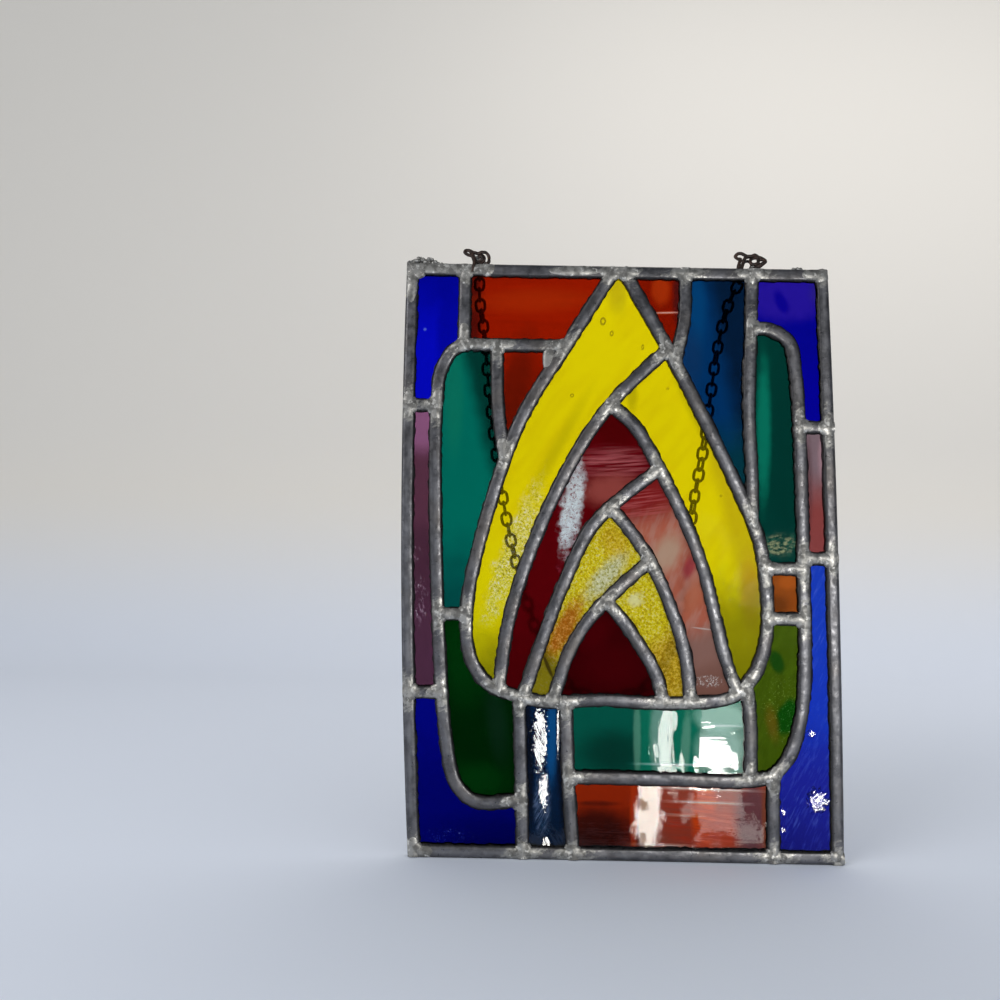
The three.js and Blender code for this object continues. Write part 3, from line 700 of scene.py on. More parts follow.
def glass_teal(c):
    made = Pane("glass_teal", c, clear=0.96)
    made.fade((0.001, 0.045, 0.036), (-71, 190), (-63, 192), 0.95)
    made.fade((0.001, 0.060, 0.055), (-76, 150), (-76, 110), 0.75)
    made.fade((0.001, 0.050, 0.040), (62, 190), (69, 190), 0.92)
    made.patch((0.006, 0.240, 0.160), -79, 200, 4, 22, 0, 0.7, 0.6)
    made.patch((0.004, 0.260, 0.175), 60, 190, 3.0, 30, 0, 0.8, 0.5)
    made.specks((0.34, 0.36, 0.22), 67, 138, 9, 6, 0.60, 0.70, 0.8, detail=3, seed=3)
    sand = made.ramp(made.distance(67, 138, 8, 4.5, 8, 1.8, 5), 0.5, 1.3, 0.75, 0.0)
    patchy = made.ramp(made.noise(2.4, 1.2, 5, detail=4, seed=32), 0.42, 0.6)
    made.lay(made.math("MULTIPLY", sand, patchy), (0.42, 0.44, 0.24))
    return made.done()


def glass_purple(c):
    made = Pane("glass_purple", c, rough=0.10, clear=0.93)
    made.fade((0.40, 0.155, 0.34), (-92, 172), (-92, 184), 0.8)
    made.fade(tint(c, 0.50), (-93, 150), (-93, 138), 0.6)
    made.fade(tint(c, 0.9), (-93, 118), (-93, 100), 0.7)
    made.specks((0.66, 0.56, 0.62), -92, 111, 3, 10, 0.56, 0.66, 0.9, 2.2, 15, detail=4, seed=4)
    made.specks((0.60, 0.50, 0.58), -95, 132, 3, 4, 0.56, 0.66, 0.9, 2.2, 15, detail=4, seed=4)
    return made.done(made.ripple(0.02, 1.3, detail=2, seed=5))


def glass_dark_green(c):
    made = Pane("glass_dark_green", c)
    made.patch(tint(c, 2.2), -72, 88, 10, 20, 0, 0.8, 0.6)
    made.patch(tint(c, 2.8), -66, 33, 12, 7, 0, 0.6, 0.6)
    made.patch((0.012, 0.04, 0.022), -57, 58, 4, 14, 8, 0.35, 0.8)
    return made.done(made.ripple(0.02, 3, detail=2, seed=6))


def glass_navy(c):
    made = Pane("glass_navy", c)
    made.fade(tint(c, 1.8), (-92, 30), (-93, 66), 0.5)
    made.patch(tint(c, 0.60), -60, 10, 26, 8, 0, 0.6, 0.6)
    made.specks((0.20, 0.24, 0.60), -78, 9, 10, 2.6, 0.60, 0.70, 0.9, detail=3, seed=7)
    return made.done()


def glass_yellow(c):
    made = Pane("glass_yellow", c, rough=0.05, clear=0.92)
    made.streaks((0.86, 0.66, 0.003), 26, 5, 52, 0.56, 0.45, seed=8)
    # Painted shade: darker olive-yellow bands along the leads at the panes' edges
    made.patch((0.60, 0.49, 0.003), -33, 179, 24, 2.6, 62, 0.50, 0.8, 0.4)
    made.patch((0.44, 0.38, 0.003), 30, 197, 20, 2.6, -63, 0.60, 0.8, 0.4)
    made.patch((0.52, 0.44, 0.003), 1, 204, 2.2, 6, 0, 0.6, 0.7, 0.5)
    made.fade((0.36, 0.35, 0.005), (50, 100), (52, 78), 0.85)
    made.fade((0.62, 0.46, 0.010), (41, 140), (49, 142), 0.55)
    made.patch((0.74, 0.40, 0.02), 54, 118, 4, 13, 0, 0.7, 0.6)
    # Painted shade in the narrow tip of the flame, between its leads
    made.patch((0.62, 0.50, 0.010), -6, 252, 4, 10, 0, 0.6, 0.6)
    grains = made.noise(1.0, detail=5, rough=0.8, seed=9)
    where = made.ramp(made.distance(-51, 134, 6.0, 33, -20, 1.3, 5), 0.55, 1.2, 1.0, 0.0)
    pale = made.math("MULTIPLY", made.ramp(grains, 0.50, 0.56), where)
    made.lay(pale, (0.95, 0.95, 0.80))
    dark = made.math("MULTIPLY", made.ramp(grains, 0.47, 0.41, 0.0, 0.9), where)
    made.lay(dark, (0.22, 0.21, 0.03))
    made.fade((0.26, 0.235, 0.004), (-66, 110), (-60, 80), 0.80)
    bubbles = ((-12.5, 238, 1.1, 1.5), (-8.5, 232.5, 0.7, 1.0), (5.5, 226.5, 0.5, 1.0),
               (-26, 204, 0.7, 0.7), (17, 208, 0.5, 0.5), (41, 160, 0.4, 0.5))
    for bubble in bubbles:
        far = made.distance(*bubble)
        ring = made.math("MULTIPLY", made.ramp(far, 0.45, 0.85),
                         made.ramp(far, 1.0, 1.35, 1.0, 0.0))
        made.lay(made.math("MULTIPLY", ring, 0.8), (0.22, 0.16, 0.01))
    wrinkle = made.within(made.ripple(0.05, 0.9, detail=3, seed=10), -56, 128, 10, 34, 20)
    return made.done(wrinkle, made.ripple(0.05, 9, 3, 52, detail=2, seed=11))


def glass_ruby(c):
    made = Pane("glass_ruby", c, rough=0.34, clear=0.75)
    pink = made.streaked(c, (0.60, 0.15, 0.17), 20, 1.2, 4, 0.50, 0.8, seed=12)
    made.lay(made.within(1.0, -7, 174, 15, 7, 0, 0.4), pink)
    made.patch((0.46, 0.10, 0.085), -9, 162, 11, 6, 10, 0.8, 0.6)
    made.patch((0.10, 0.001, 0.002), -6, 190, 10, 9, 0, 0.7, 0.5)
    # Painted reflection: a pale lavender-white grainy glint on the ruby glass
    painted_glint = made.ramp(made.noise(1.3, 0.9, detail=5, rough=0.85, seed=13), 0.39, 0.50)
    where = made.ramp(made.distance(-25.3, 153, 4.8, 21, -9, 1.5, 4.0), 0.6, 1.2, 1.0, 0.0)
    painted_glint = made.math("MULTIPLY", painted_glint, where)
    made.lay(painted_glint, (0.84, 0.95, 1.0))
    made.fade(tint(c, 0.62), (-42, 118), (-50, 80), 0.7)
    made.fade(tint(c, 0.55), (-34, 150), (-40, 152), 0.5)
    return made.done(made.within(made.ripple(0.06, 1.2, detail=3, seed=14), -24, 152, 8, 19, -24))


def glass_grainy_yellow(c):
    made = Pane("glass_grainy_yellow", c, rough=0.45, clear=0.70)
    grains = made.noise(1.1, detail=5, rough=0.8, seed=15)
    made.shade = made.mix(made.ramp(grains, 0.38, 0.54), (0.46, 0.29, 0.010), c)
    # Painted highlights: white glitter sparkles on the grains
    made.lay(made.ramp(grains, 0.55, 0.61, 0.0, 0.9), (1.0, 1.0, 0.74))
    gold = made.mix(made.ramp(grains, 0.44, 0.56), (0.42, 0.20, 0.006), (0.95, 0.62, 0.05))
    made.fade(gold, (15, 104), (22, 94), 0.75)
    made.patch(gold, -6, 139, 6, 8, 30, 0.5, 0.6, 0.9, 2)
    brown = made.mix(made.ramp(grains, 0.50, 0.58), (0.46, 0.105, 0.006), (0.90, 0.42, 0.08))
    made.patch(brown, -28.5, 99, 15, 4.6, 62, 0.92, 0.5, 0.9, 2)
    silver = made.mix(made.ramp(grains, 0.42, 0.54), (0.34, 0.36, 0.06), (0.92, 0.94, 0.76))
    made.patch(silver, -10, 123, 12, 4.2, 50, 0.8, 0.5, 0.9, 2)
    made.fade((0.30, 0.24, 0.010), (-33, 92), (-37, 84), 0.9)
    made.patch((0.06, 0.035, 0.01), -35, 83, 0.8, 5.5, 24, 0.8, 0.3, 0.3)
    # Painted glint: a bright pale-yellow spot
    made.patch((1.0, 0.97, 0.50), 3, 113, 3.4, 2.6, 20, 0.8, 0.5, 2.4, 2.2)
    return made.done(made.scaled(grains, 0.12))


def glass_maroon(c):
    made = Pane("glass_maroon", c, rough=0.34, clear=0.75)
    made.patch(tint(c, 1.5), -6, 84, 13, 9, 0, 0.7, 0.6)
    made.patch(tint(c, 2.0), -14, 98, 5, 8, -35, 0.5, 0.6)
    return made.done()


def glass_salmon(c):
    made = Pane("glass_salmon", c, rough=0.42, clear=0.45)
    made.streaks((0.66, 0.36, 0.28), 9, 2.2, 70, 0.52, 0.6, seed=16)
    made.fade((0.30, 0.008, 0.012), (8, 142), (4, 156), 0.95)
    lines = made.streaked(made.shade, (0.70, 0.16, 0.16), 18, 0.8, 8, 0.55, 0.7, seed=17)
    made.lay(made.within(1.0, 4, 156, 12, 7, 0, 0.4), lines)
    made.patch((0.66, 0.46, 0.32), 17, 134, 5.5, 9, -25, 0.85, 0.6)
    made.patch((0.52, 0.06, 0.08), 27, 128, 2.6, 5, -20, 0.85, 0.5)
    made.patch((0.66, 0.20, 0.10), 29, 115, 4, 8, -20, 0.8, 0.6)
    made.fade((0.38, 0.20, 0.16), (31, 106), (34, 94), 0.95)
    made.fade((0.28, 0.12, 0.085), (35, 90), (38, 78), 0.8)
    made.specks((0.95, 0.90, 0.86), 36, 78, 6, 2.4, 0.55, 0.62, 0.6, detail=3, seed=18)
    made.patch((0.78, 0.66, 0.60), 33, 101, 4.5, 0.35, -6, 0.7, 0.3, 0.2)
    return made.done(made.ripple(0.03, 1.2, detail=3, seed=19))


def glass_steel_blue(c):
    made = Pane("glass_steel_blue", c, clear=0.97)
    made.fade((0.002, 0.012, 0.040), (36, 225), (46, 227), 0.9)
    made.patch((0.002, 0.070, 0.24), 30, 244, 4, 16, 0, 0.75, 0.6)
    made.patch((0.008, 0.045, 0.15), 28, 222, 4, 12, 0, 0.6, 0.6)
    made.fade((0.002, 0.050, 0.062), (42, 200), (46, 172), 0.85)
    made.specks((0.60, 0.66, 0.70), 47, 190, 4, 8, 0.64, 0.70, 0.7, detail=3, seed=22)
    return made.done()


def glass_violet(c):
    made = Pane("glass_violet", c)
    made.patch((0.024, 0.010, 0.42), 70, 250, 18, 10, 0, 0.9, 0.35)
    made.patch((0.003, 0.001, 0.36), 68, 248, 2.6, 5.5, 25, 0.9, 0.4)
    made.patch((0.030, 0.020, 0.26), 86, 254, 5, 7, 0, 0.7, 0.5)
    made.fade((0.002, 0.001, 0.44), (84, 232), (84, 205), 0.85)
    return made.done()


def glass_mauve(c):
    made = Pane("glass_mauve", c, rough=0.06, clear=0.94)
    made.fade((0.33, 0.060, 0.055), (83, 176), (83, 152), 0.9)
    made.patch((0.10, 0.035, 0.045), 80, 165, 1.6, 20, 0, 0.6, 0.6)
    made.patch((0.62, 0.36, 0.44), 86.5, 178, 2.0, 9, 0, 0.5, 0.6)
    return made.done()


def glass_amber(c):
    made = Pane("glass_amber", c)
    made.patch(tint(c, 0.40), 66, 112, 5, 4, 0, 0.7, 0.6)
    made.patch(tint(c, 1.7), 71, 122, 4.5, 3, 0, 0.6, 0.6)
    return made.done()


def glass_olive(c):
    made = Pane("glass_olive", c)
    made.streaks(tint(c, 1.5), 9, 3, 70, 0.52, 0.6, seed=23)
    made.patch((0.003, 0.085, 0.004), 71, 63, 5, 8, -20, 0.95, 0.25, 0.5, 5)
    made.patch((0.003, 0.070, 0.006), 66, 87, 3, 5, 20, 0.85, 0.3, 0.5, 5)
    made.patch((0.005, 0.110, 0.010), 74, 51, 3, 4, 0, 0.8, 0.3, 0.5, 5)
    made.patch((0.20, 0.11, 0.008), 64, 60, 2.4, 7, 10, 0.6, 0.6)
    made.specks((0.55, 0.70, 0.40), 68, 66, 8, 14, 0.66, 0.71, 0.6, detail=2, seed=24)
    return made.done(made.ripple(0.06, 5, detail=2, seed=25))


def glass_blue(c):
    made = Pane("glass_blue", c, rough=0.05, gloss=0.3)
    made.fade((0.010, 0.012, 0.42), (84, 66), (80, 34), 0.85)
    made.fade((0.006, 0.006, 0.30), (80, 30), (74, 6), 0.7)
    made.patch((0.006, 0.055, 0.62), 84, 110, 5, 30, 0, 0.8, 0.6)
    made.streaks((0.10, 0.17, 0.80), 7, 1.0, 65, 0.62, 0.45, 0.06, seed=26)
    facets = [made.facet(*spot) for spot in (
        (84, 27, 4.0, 4.4, -0.115, 0.278), (81, 56, 1.5, 1.6, -0.110, 0.240),
        (68.5, 22, 1.0, 1.6, -0.085, 0.295), (68.5, 14.5, 1.0, 1.2, -0.085, 0.310))]
    ripples = made.ripple(0.13, 6, 2.2, 65, detail=3, seed=26)
    return made.done(made.tilt(0.06, -0.11), ripples, *facets)


def glass_sea_green(c):
    made = Pane("glass_sea_green", c, rough=0.02, gloss=0.3)
    made.patch(tint(c, 0.30), -6, 46, 14, 9, 0, 0.8, 0.6)
    made.fade((0.004, 0.22, 0.12), (2, 50), (8, 50), 0.85, 0.04)
    # Painted reflection of the window: pale green bands, an arch and two thin white lines
    made.patch((0.16, 0.42, 0.27), 4.6, 53, 1.6, 17, 1, 0.55, 0.4, 0.5, 3)
    made.patch((0.26, 0.48, 0.36), 15.0, 53, 4.6, 18, 1, 0.70, 0.3, 0.4, 3)
    made.patch((0.15, 0.42, 0.27), 26.0, 50, 2.0, 14, -3, 0.70, 0.4, 0.5, 3)
    made.patch((0.30, 0.62, 0.44), 41.0, 62, 11, 6, 0, 0.85, 0.3, 0.4, 4)
    made.patch((0.34, 0.66, 0.50), 40.5, 49, 10, 9.5, 0, 0.60, 0.3, 0.3, 4)
    made.patch((0.75, 0.90, 0.80), 42.0, 58.6, 9, 0.45, 0, 0.80, 0.3, 0.2)
    made.patch((0.70, 0.88, 0.78), 22.0, 41.4, 17, 0.5, 0, 0.75, 0.4, 0.3)
    ripples = made.ripple(0.040, 5.5, 24, 3, detail=1, seed=27)
    lines = made.ripple(0.014, 26, 2.0, 1, detail=1, seed=31)
    return made.done(made.tilt(0.032, 0.138), ripples, lines)


def glass_orange(c):
    made = Pane("glass_orange", c, rough=0.02, gloss=0.30)
    made.fade((0.10, 0.008, 0.003), (-12, 24), (-10, 10), 0.85)
    made.patch((0.10, 0.008, 0.003), -12, 24, 9, 0.9, 0, 0.7, 0.5)
    made.patch((0.60, 0.045, 0.004), 3.4, 20, 1.6, 16, 0, 0.90, 0.4, 0.4, 3)
    made.fade((0.46, 0.085, 0.045), (5, 20), (10, 20), 0.85, 0.03)
    # Painted reflection: a cream band where the window is reflected
    made.patch((0.86, 0.56, 0.34), 9.8, 20, 4.4, 17, -2, 0.80, 0.2, 0.5, 2.5)
    made.patch((1.0, 0.095, 0.006), 34.5, 20, 5.4, 16, 0, 1.0, 0.35, 0.5)
    made.patch((0.95, 0.11, 0.03), 43.0, 14, 6, 9, 0, 0.80, 0.5)
    lines = made.streaked(made.shade, (0.62, 0.040, 0.010), 12, 1.2, -6, 0.50, 0.75, seed=34)
    made.lay(made.within(1.0, 36, 18, 22, 12, 0, 0.3), lines)
    made.patch((0.045, 0.005, 0.003), -13, 12, 13, 10, 0, 0.85, 0.4, 0.3)
    made.patch((0.20, 0.075, 0.085), 55.0, 18, 7, 16, 0, 0.85, 0.4)
    made.patch((0.34, 0.08, 0.03), 61.0, 18, 1.6, 14, 0, 0.8, 0.4)
    # Painted reflection: thin white streak lines
    for line in ((35.0, 31.0, 21.0, 0.55), (36.0, 25.2, 17.0, 0.5), (24.0, 19.6, 9.0, 0.3),
                 (16.0, 6.6, 12.0, 0.5)):
        made.patch((1.0, 0.88, 0.74), *line, -1, 0.90, 0.4, 0.4, 2.5)
    lines = made.math("ADD", made.ripple(0.020, 26, 1.6, -2, detail=2, seed=28),
                      made.ripple(0.007, 1.8, 0.9, 20, detail=2, seed=33))
    return made.done(made.tilt(0.0465, 0.151), lines)


def glass_ribbed(c):
    made = Pane("glass_ribbed", c, rough=0.035, gloss=0.6)
    made.patch((0.004, 0.10, 0.30), -33.0, 52, 2.4, 18, 0, 0.85, 0.5)
    made.patch((0.002, 0.004, 0.012), -43, 45, 2.0, 30, 3, 0.9, 0.4)
    made.patch((0.002, 0.004, 0.012), -28.5, 40, 1.8, 30, 3, 0.8, 0.4)
    # Painted reflection: grey-blue feather strokes below the glint
    painted_reflection_strokes = made.streaked(made.shade, (0.13, 0.19, 0.32), 7, 0.7, 62, 0.50, 0.9, seed=35)
    made.lay(made.within(1.0, -36.6, 23, 3.6, 13, 0, 0.3, 0.8, 2.0), painted_reflection_strokes)
    ribs = made.ripple(0.020, 1.1, 5, 24, detail=2, rough=0.6, seed=30)
    feathers = [made.facet(*spot) for spot in (
        (-38.0, 52, 3.2, 15.0, 0.132, 0.0), (-36.2, 30, 2.2, 8.0, 0.129, 0.015),
        (-34.6, 7, 1.8, 2.4, 0.127, 0.055), (-30.2, 55, 0.6, 12.0, 0.120, 0.0))]
    return made.done(made.tilt(0.0, 0.150), ribs, *feathers)


GLASS_FINISHES = {maker.__name__: maker for maker in (
    glass_cobalt, glass_red, glass_teal, glass_purple, glass_dark_green, glass_navy, glass_yellow,
    glass_ruby, glass_grainy_yellow, glass_maroon, glass_salmon, glass_steel_blue, glass_violet,
    glass_mauve, glass_amber, glass_olive, glass_blue, glass_sea_green, glass_orange, glass_ribbed)}


def finish(name, maker):
    """The material of that name, made the first time that it is asked for."""
    return bpy.data.materials.get("finish_" + name) or maker()


# Leads

def came_line(name):
    """A came's middle line on the flat panel, in 60 steps between each two of its points."""
    return smooth_line(place(CAMES[name]), 60)


def side_line(name):
    """A frame side's outer edge: from corner to corner, swelling outwards by 4 times the bow
    times the share of the way and what is left of it."""
    start, end, bow, short = SIDES[name]
    start, end = place(CORNERS[start]), place(CORNERS[end])
    way, points = end - start, 400
    share = np.linspace(0, 1, points)[:, None]
    outward = np.array([way[1], -way[0]]) / np.linalg.norm(way)
    line = start + way * share + outward * 4 * bow * share * (1 - share)
    total = lengths(line)[-1]
    return evenly(line, np.linspace(short, total - short, points))


def crown(half, low, high, count, power=1.0):
    """Half an ellipse over a flange: out to the half width at the flange's edge and up to the
    crown."""
    turn = np.linspace(0, math.pi, count)
    return np.stack([half * np.cos(turn), low + (high - low) * np.sin(turn) ** power], axis=-1)


def came_outline():
    """H section: crown, flange edge, cement toe on the glass and heart, on both faces, and how
    far across the crown each point lies, over 1 on the cement."""
    use = settings("lead_sizes")
    half, top, flange = use.came_face / 2, use.came_thickness / 2, use.channel / 2 + FLANGE_LIP
    glass_face, heart = use.glass / 2 + GLASS_GAP, use.came_heart / 2
    toe, points = half + use.cement, 13
    arc = crown(half, flange, top, points)
    front = np.vstack([[toe, glass_face], arc, [-toe, glass_face], [-heart, glass_face]])
    back = front * [-1, -1]
    on_crown = np.abs(np.cos(np.linspace(0, math.pi, points))) * CROWN_EDGE
    across = np.concatenate([[ON_CEMENT], on_crown, [ON_CEMENT, ON_CEMENT]])
    return np.vstack([front, back]), np.tile(across, 2)


def frame_outline():
    """U section: rounded outer edge, a low crown, the inner flange edge with its cement toe, and
    the wall."""
    use = settings("lead_sizes")
    face, top, flange = use.frame_face, use.came_thickness / 2, use.channel / 2 + FLANGE_LIP
    glass_face, wall = use.glass / 2 + GLASS_GAP, use.frame_wall
    middle, half = face * 0.47, face * 0.53
    arc = crown(half, flange, top, 11, 0.8) + [middle, 0]
    arc = arc[arc[:, 0] > face * 0.05]
    edge = np.array([[0.00006, flange * 0.9]])
    front = np.vstack([[wall, glass_face], [face + use.cement, glass_face], arc, edge])
    back = front[::-1] * [1, -1]
    on_crown = np.abs(arc[:, 0] - middle) / half * CROWN_EDGE
    across = np.concatenate([[ON_CEMENT, ON_CEMENT], on_crown, [0.8]])
    return np.vstack([front, back]), np.concatenate([across, across[::-1]])


def worked_lead(line, outline, across, seed):
    """A lead carried along its line. Its width and its crown swell and shrink slowly along the
    line, and small lumps lift the surface where it isn't the cement. Also gives, for each point,
    how far across the crown it lies, and how tinned it is: one at a joint, falling evenly to
    nothing at the set distance from it."""
    use = settings("lead_sizes")
    steps = max(3, int(lengths(line)[-1] / use.step))
    path = straight_past(line, np.linspace(0, lengths(line)[-1], steps))
    sections = np.repeat(outline[None], steps, axis=0)
    spots = np.concatenate([path, np.full((steps, 1), seed * 0.01)], axis=1)
    broad = 1 + 0.035 * lumps(spots, 0.011, seed)
    toe = (across == ON_CEMENT) & (np.abs(outline[:, 0]) > use.came_heart)
    for sign in (-1, 1):
        this = toe & (np.sign(outline[:, 0]) == sign)
        wander = lumps(spots + sign, 0.0019, seed + 40)[:, None]
        sections[:, this, 0] += sign * use.cement * 0.9 * wander
    sections[..., 0] *= broad[:, None]
    grid = carry(path, sections)
    lift = 0.65 * lumps(grid, 0.0042, seed + 3) + 0.35 * lumps(grid, 0.0014, seed + 5)
    free = np.clip((1.0 - across) * 3.0, 0, 1)[None, :]
    grid[..., 2] += np.sign(sections[..., 1]) * (use.ripple * lift - use.ripple * 0.5) * free
    far = np.min(np.linalg.norm(path[:, None] - joint_spots()[None], axis=2), axis=1)
    tinned = np.clip(1 - far / use.tinned, 0, 1)
    return grid, {"across": [np.repeat(across[None], steps, axis=0)],
                  "tinned": [np.repeat(tinned[:, None], len(across), axis=1)]}


def side_middle(name):
    """The middle line of a frame side's face: its outer edge moved inwards by half the face."""
    edge, face = side_line(name), settings("lead_sizes").frame_face
    along = directions(edge)
    return edge + np.stack([-along[:, 1], along[:, 0]], axis=-1) * face * 0.5


def joints():
    """Where each came ends on another lead: (its line from that end, the line it meets, how far
    along that)."""
    lines = {name: came_line(name) for name in CAMES}
    lines.update({name: side_middle(name) for name in SIDES})
    found = []
    for name in CAMES:
        for line in (lines[name], lines[name][::-1]):
            others = [(np.linalg.norm(other - line[0], axis=1), key)
                      for key, other in lines.items() if key != name]
            far, key = min(others, key=lambda pair: pair[0].min())
            found.append((line, lines[key], lengths(lines[key])[far.argmin()]))
    return found


def joint_spots():
    """The places of the joints and of the panel's corners."""
    corners = [place(corner) for corner in CORNERS.values()]
    return np.array([place(CAMES[name])[end] for name in CAMES for end in (0, -1)] + corners)


def inside_panel(grid):
    """The same points with those outside the frame's outer edge moved sideways or down onto it."""
    edges = {name: side_line(name) for name in ("frame_left", "frame_right")}
    left = np.interp(grid[..., 1], edges["frame_left"][::-1, 1], edges["frame_left"][::-1, 0])
    right = np.interp(grid[..., 1], edges["frame_right"][:, 1], edges["frame_right"][:, 0])
    inset = 0.0001
    x = np.clip(grid[..., 0], left + inset, right - inset)
    y = np.clip(grid[..., 1], inset, PANEL_HEIGHT - inset)
    return np.stack([x, y, grid[..., 2]], axis=-1)


def solder_shell(grid, side):
    """The shell of some solder, moved to its face of the panel and kept inside the outline."""
    grid[..., 2] *= side
    return inside_panel(grid), False


def solder_rings(rings):
    """How far each ring of a dome has climbed, as an angle from its rim nearly to its top."""
    return np.linspace(0, math.pi / 2 - POLE, rings)[:, None]


def solder_run(line, start, end, taper_start, taper_end, seed, side):
    """Solder that lies over a lead: its section is a crown a little wider and higher than the
    lead's, which sinks into it towards a tapered end, and its edges and top are uneven."""
    use, step = settings("lead_sizes"), 0.0006
    steps = max(8, int((end - start) / step))
    far = np.linspace(start, end, steps)
    path = straight_past(line, far)
    share = (far - start) / (end - start)
    full, taper = np.ones(steps), 0.55
    for tapered, way in ((taper_start, share), (taper_end, 1 - share)):
        if tapered:
            full = np.minimum(full, np.sin(np.clip(way / taper, 0, 1) * math.pi / 2))
    turn = np.linspace(0, math.pi, 15)
    spots = np.concatenate([path, np.full((steps, 1), seed * 0.013)], axis=1)
    right = 1 + 0.09 * lumps(spots, 0.0034, seed)
    left = 1 + 0.09 * lumps(spots, 0.0034, seed + 31)
    half = use.came_face / 2 - 0.0005 + 0.0006 * full
    swell = np.where(np.cos(turn) > 0, right[:, None], left[:, None])
    across = half[:, None] * np.cos(turn)[None, :] * swell
    low, sunk = use.glass / 2 - FOOT, 0.0002
    rise = use.came_thickness / 2 - low - sunk + (use.solder_height + sunk) * full
    depth = low + rise[:, None] * np.sin(turn)[None, :] ** 0.75
    sections = np.stack([across, depth], axis=-1)
    grid = carry(path, sections)
    rough = 0.00009 * lumps(grid, 0.0034, seed + 7) + 0.00003 * lumps(grid, 0.0012, seed + 9)
    grid[..., 2] += rough * np.sin(turn)[None, :] * full[:, None]
    return solder_shell(grid, side)


def solder_blob(centre, across, high, depth, seed, side=1.0):
    """A low dome of solder: rings that shrink by the cosine as they climb by the sine, with an
    uneven rim."""
    climb = solder_rings(8)
    turn = np.linspace(0, 2 * math.pi, 20, endpoint=False)[None, :]
    rim = 1 + 0.10 * np.sin(turn * 2 + seed) + 0.07 * np.sin(turn * 3 + 2.3 * seed)
    x = centre[0] + across * np.cos(climb) * rim * np.cos(turn)
    y = centre[1] + high * np.cos(climb) * rim * np.sin(turn)
    low = settings("lead_sizes").glass / 2 - FOOT
    z = low + (depth - low) * np.sin(climb) ** 0.8 + 0 * turn
    grid = np.stack([x, y, z], axis=-1)
    grid[..., 2] += 0.00006 * lumps(grid, 0.0022, seed + 11) * np.sin(climb)
    return solder_shell(grid, side)


def solder_star(line, met, where, depth, seed, side):
    """Solder drawn into the corners of a joint. Its rings are four-pointed stars, with the points
    along the two leads: the radius is the arm over the p-th root of the sum of the cosine and the
    sine, each to the power p. In each quarter p is chosen so that the star passes the leads'
    inner corner by the fillet. On the far side of the lead that is met the star stops at its
    edge, and past that lead's own end it is cut short. The rings shrink by the cosine as they
    climb by the sine."""
    use = settings("lead_sizes")
    half, near, towards = use.came_face / 2, 0.001, 20
    behind, centre, ahead = evenly(met, [where - near, where, where + near])
    u = (ahead - behind) / np.linalg.norm(ahead - behind)
    v = (line[towards] - line[0]) / np.linalg.norm(line[towards] - line[0])
    turn = np.linspace(0, 2 * math.pi, 56, endpoint=False)
    x, y = np.cos(turn), np.sin(turn)
    between = math.acos(float(np.clip(u @ v, -0.94, 0.94)))
    angle = np.where(x > 0, between, math.pi - between)
    wanted = (half / np.sin(angle / 2) + STAR_FILLET) / (STAR_ARM * np.cos(angle / 2))
    power = np.clip(1 / np.maximum(1 - np.log2(wanted), 0.5), 0.6, 2.0)
    power = np.where(y < -1e-9, 1.3, power)
    radius = STAR_ARM / (np.abs(x) ** power + np.abs(y) ** power) ** (1 / power)
    radius = radius * (1 + 0.05 * np.sin(turn * 3 + seed) + 0.04 * np.sin(turn * 7 + 2.3 * seed))
    left_over = np.where(x > 0, lengths(met)[-1] - where, where) + 0.0012
    ends = np.minimum(left_over / STAR_ARM, 1.0)
    far = np.where(y < 0, (half + 0.0002) / STAR_ARM, 1.0)
    rim = (radius * x * ends)[:, None] * u + (radius * y * far)[:, None] * v
    climb = solder_rings(9)
    flat = centre + np.cos(climb)[..., None] * rim[None]
    low = use.glass / 2 - FOOT
    z = low + (depth - low) * np.sin(climb) ** 0.75 + 0 * turn[None]
    grid = np.concatenate([flat, z[..., None]], axis=-1)
    rough = 0.00009 * lumps(grid, 0.0026, seed + 11) + 0.00003 * lumps(grid, 0.0011, seed + 12)
    grid[..., 2] += rough * np.sin(climb)
    return solder_shell(grid, side)


def crumb(centre, radii, seed):
    """A crumb of solder: a ball whose radius swells and shrinks by up to a third."""
    climb = np.linspace(-math.pi / 2 + 0.05, math.pi / 2 - 0.05, 9)[:, None]
    turn = np.linspace(0, 2 * math.pi, 12, endpoint=False)[None, :]
    ball = np.stack([np.cos(climb) * np.cos(turn), np.cos(climb) * np.sin(turn),
                     np.sin(climb) + 0 * turn], axis=-1)
    swell = 1 + 0.30 * lumps(ball + seed * 3.7, 0.8, seed)
    return np.asarray(centre) + ball * swell[..., None] * np.asarray(radii), False


class BUILD_OT_lead_frame(bpy.types.Operator):
    """Make the four sides of the frame lead"""
    bl_idname = "glass_panel.lead_frame"
    bl_label = "Frame lead"

    def execute(self, context):
        outline, across = frame_outline()
        lead = finish("lead", lead_finish)
        for seed, name in enumerate(SIDES):
            grid, values = worked_lead(side_line(name), outline, across, 60 + seed)
            build("lead_" + name, [(grid, False)], lead, [name], values)
        return {"FINISHED"}


class BUILD_OT_lead_cames(bpy.types.Operator):
    """Make every inner came, each ending inside the lead that it meets"""
    bl_idname = "glass_panel.lead_cames"
    bl_label = "Cames"

    def execute(self, context):
        outline, across = came_outline()
        lead = finish("lead", lead_finish)
        for seed, name in enumerate(CAMES):
            line = came_line(name)
            total, short = lengths(line)[-1], 0.0012
            line = evenly(line, np.linspace(short, total - short, len(line)))
            grid, values = worked_lead(line, outline, across, seed)
            build(name.replace("came", "lead"), [(grid, False)], lead, [name], values)
        return {"FINISHED"}


# Runs of solder along the frame: the side, and where along it each starts and ends
FRAME_RUNS = (
    ("frame_top", 0.1485, 0.189), ("frame_left", 0.0006, 0.021), ("frame_left", 0.2535, 0.2622),
    ("frame_bottom", 0.0006, 0.007), ("frame_top", 0.0006, 0.008), ("frame_bottom", 0.182, 0.189),
    ("frame_top", 0.095, 0.125),
)

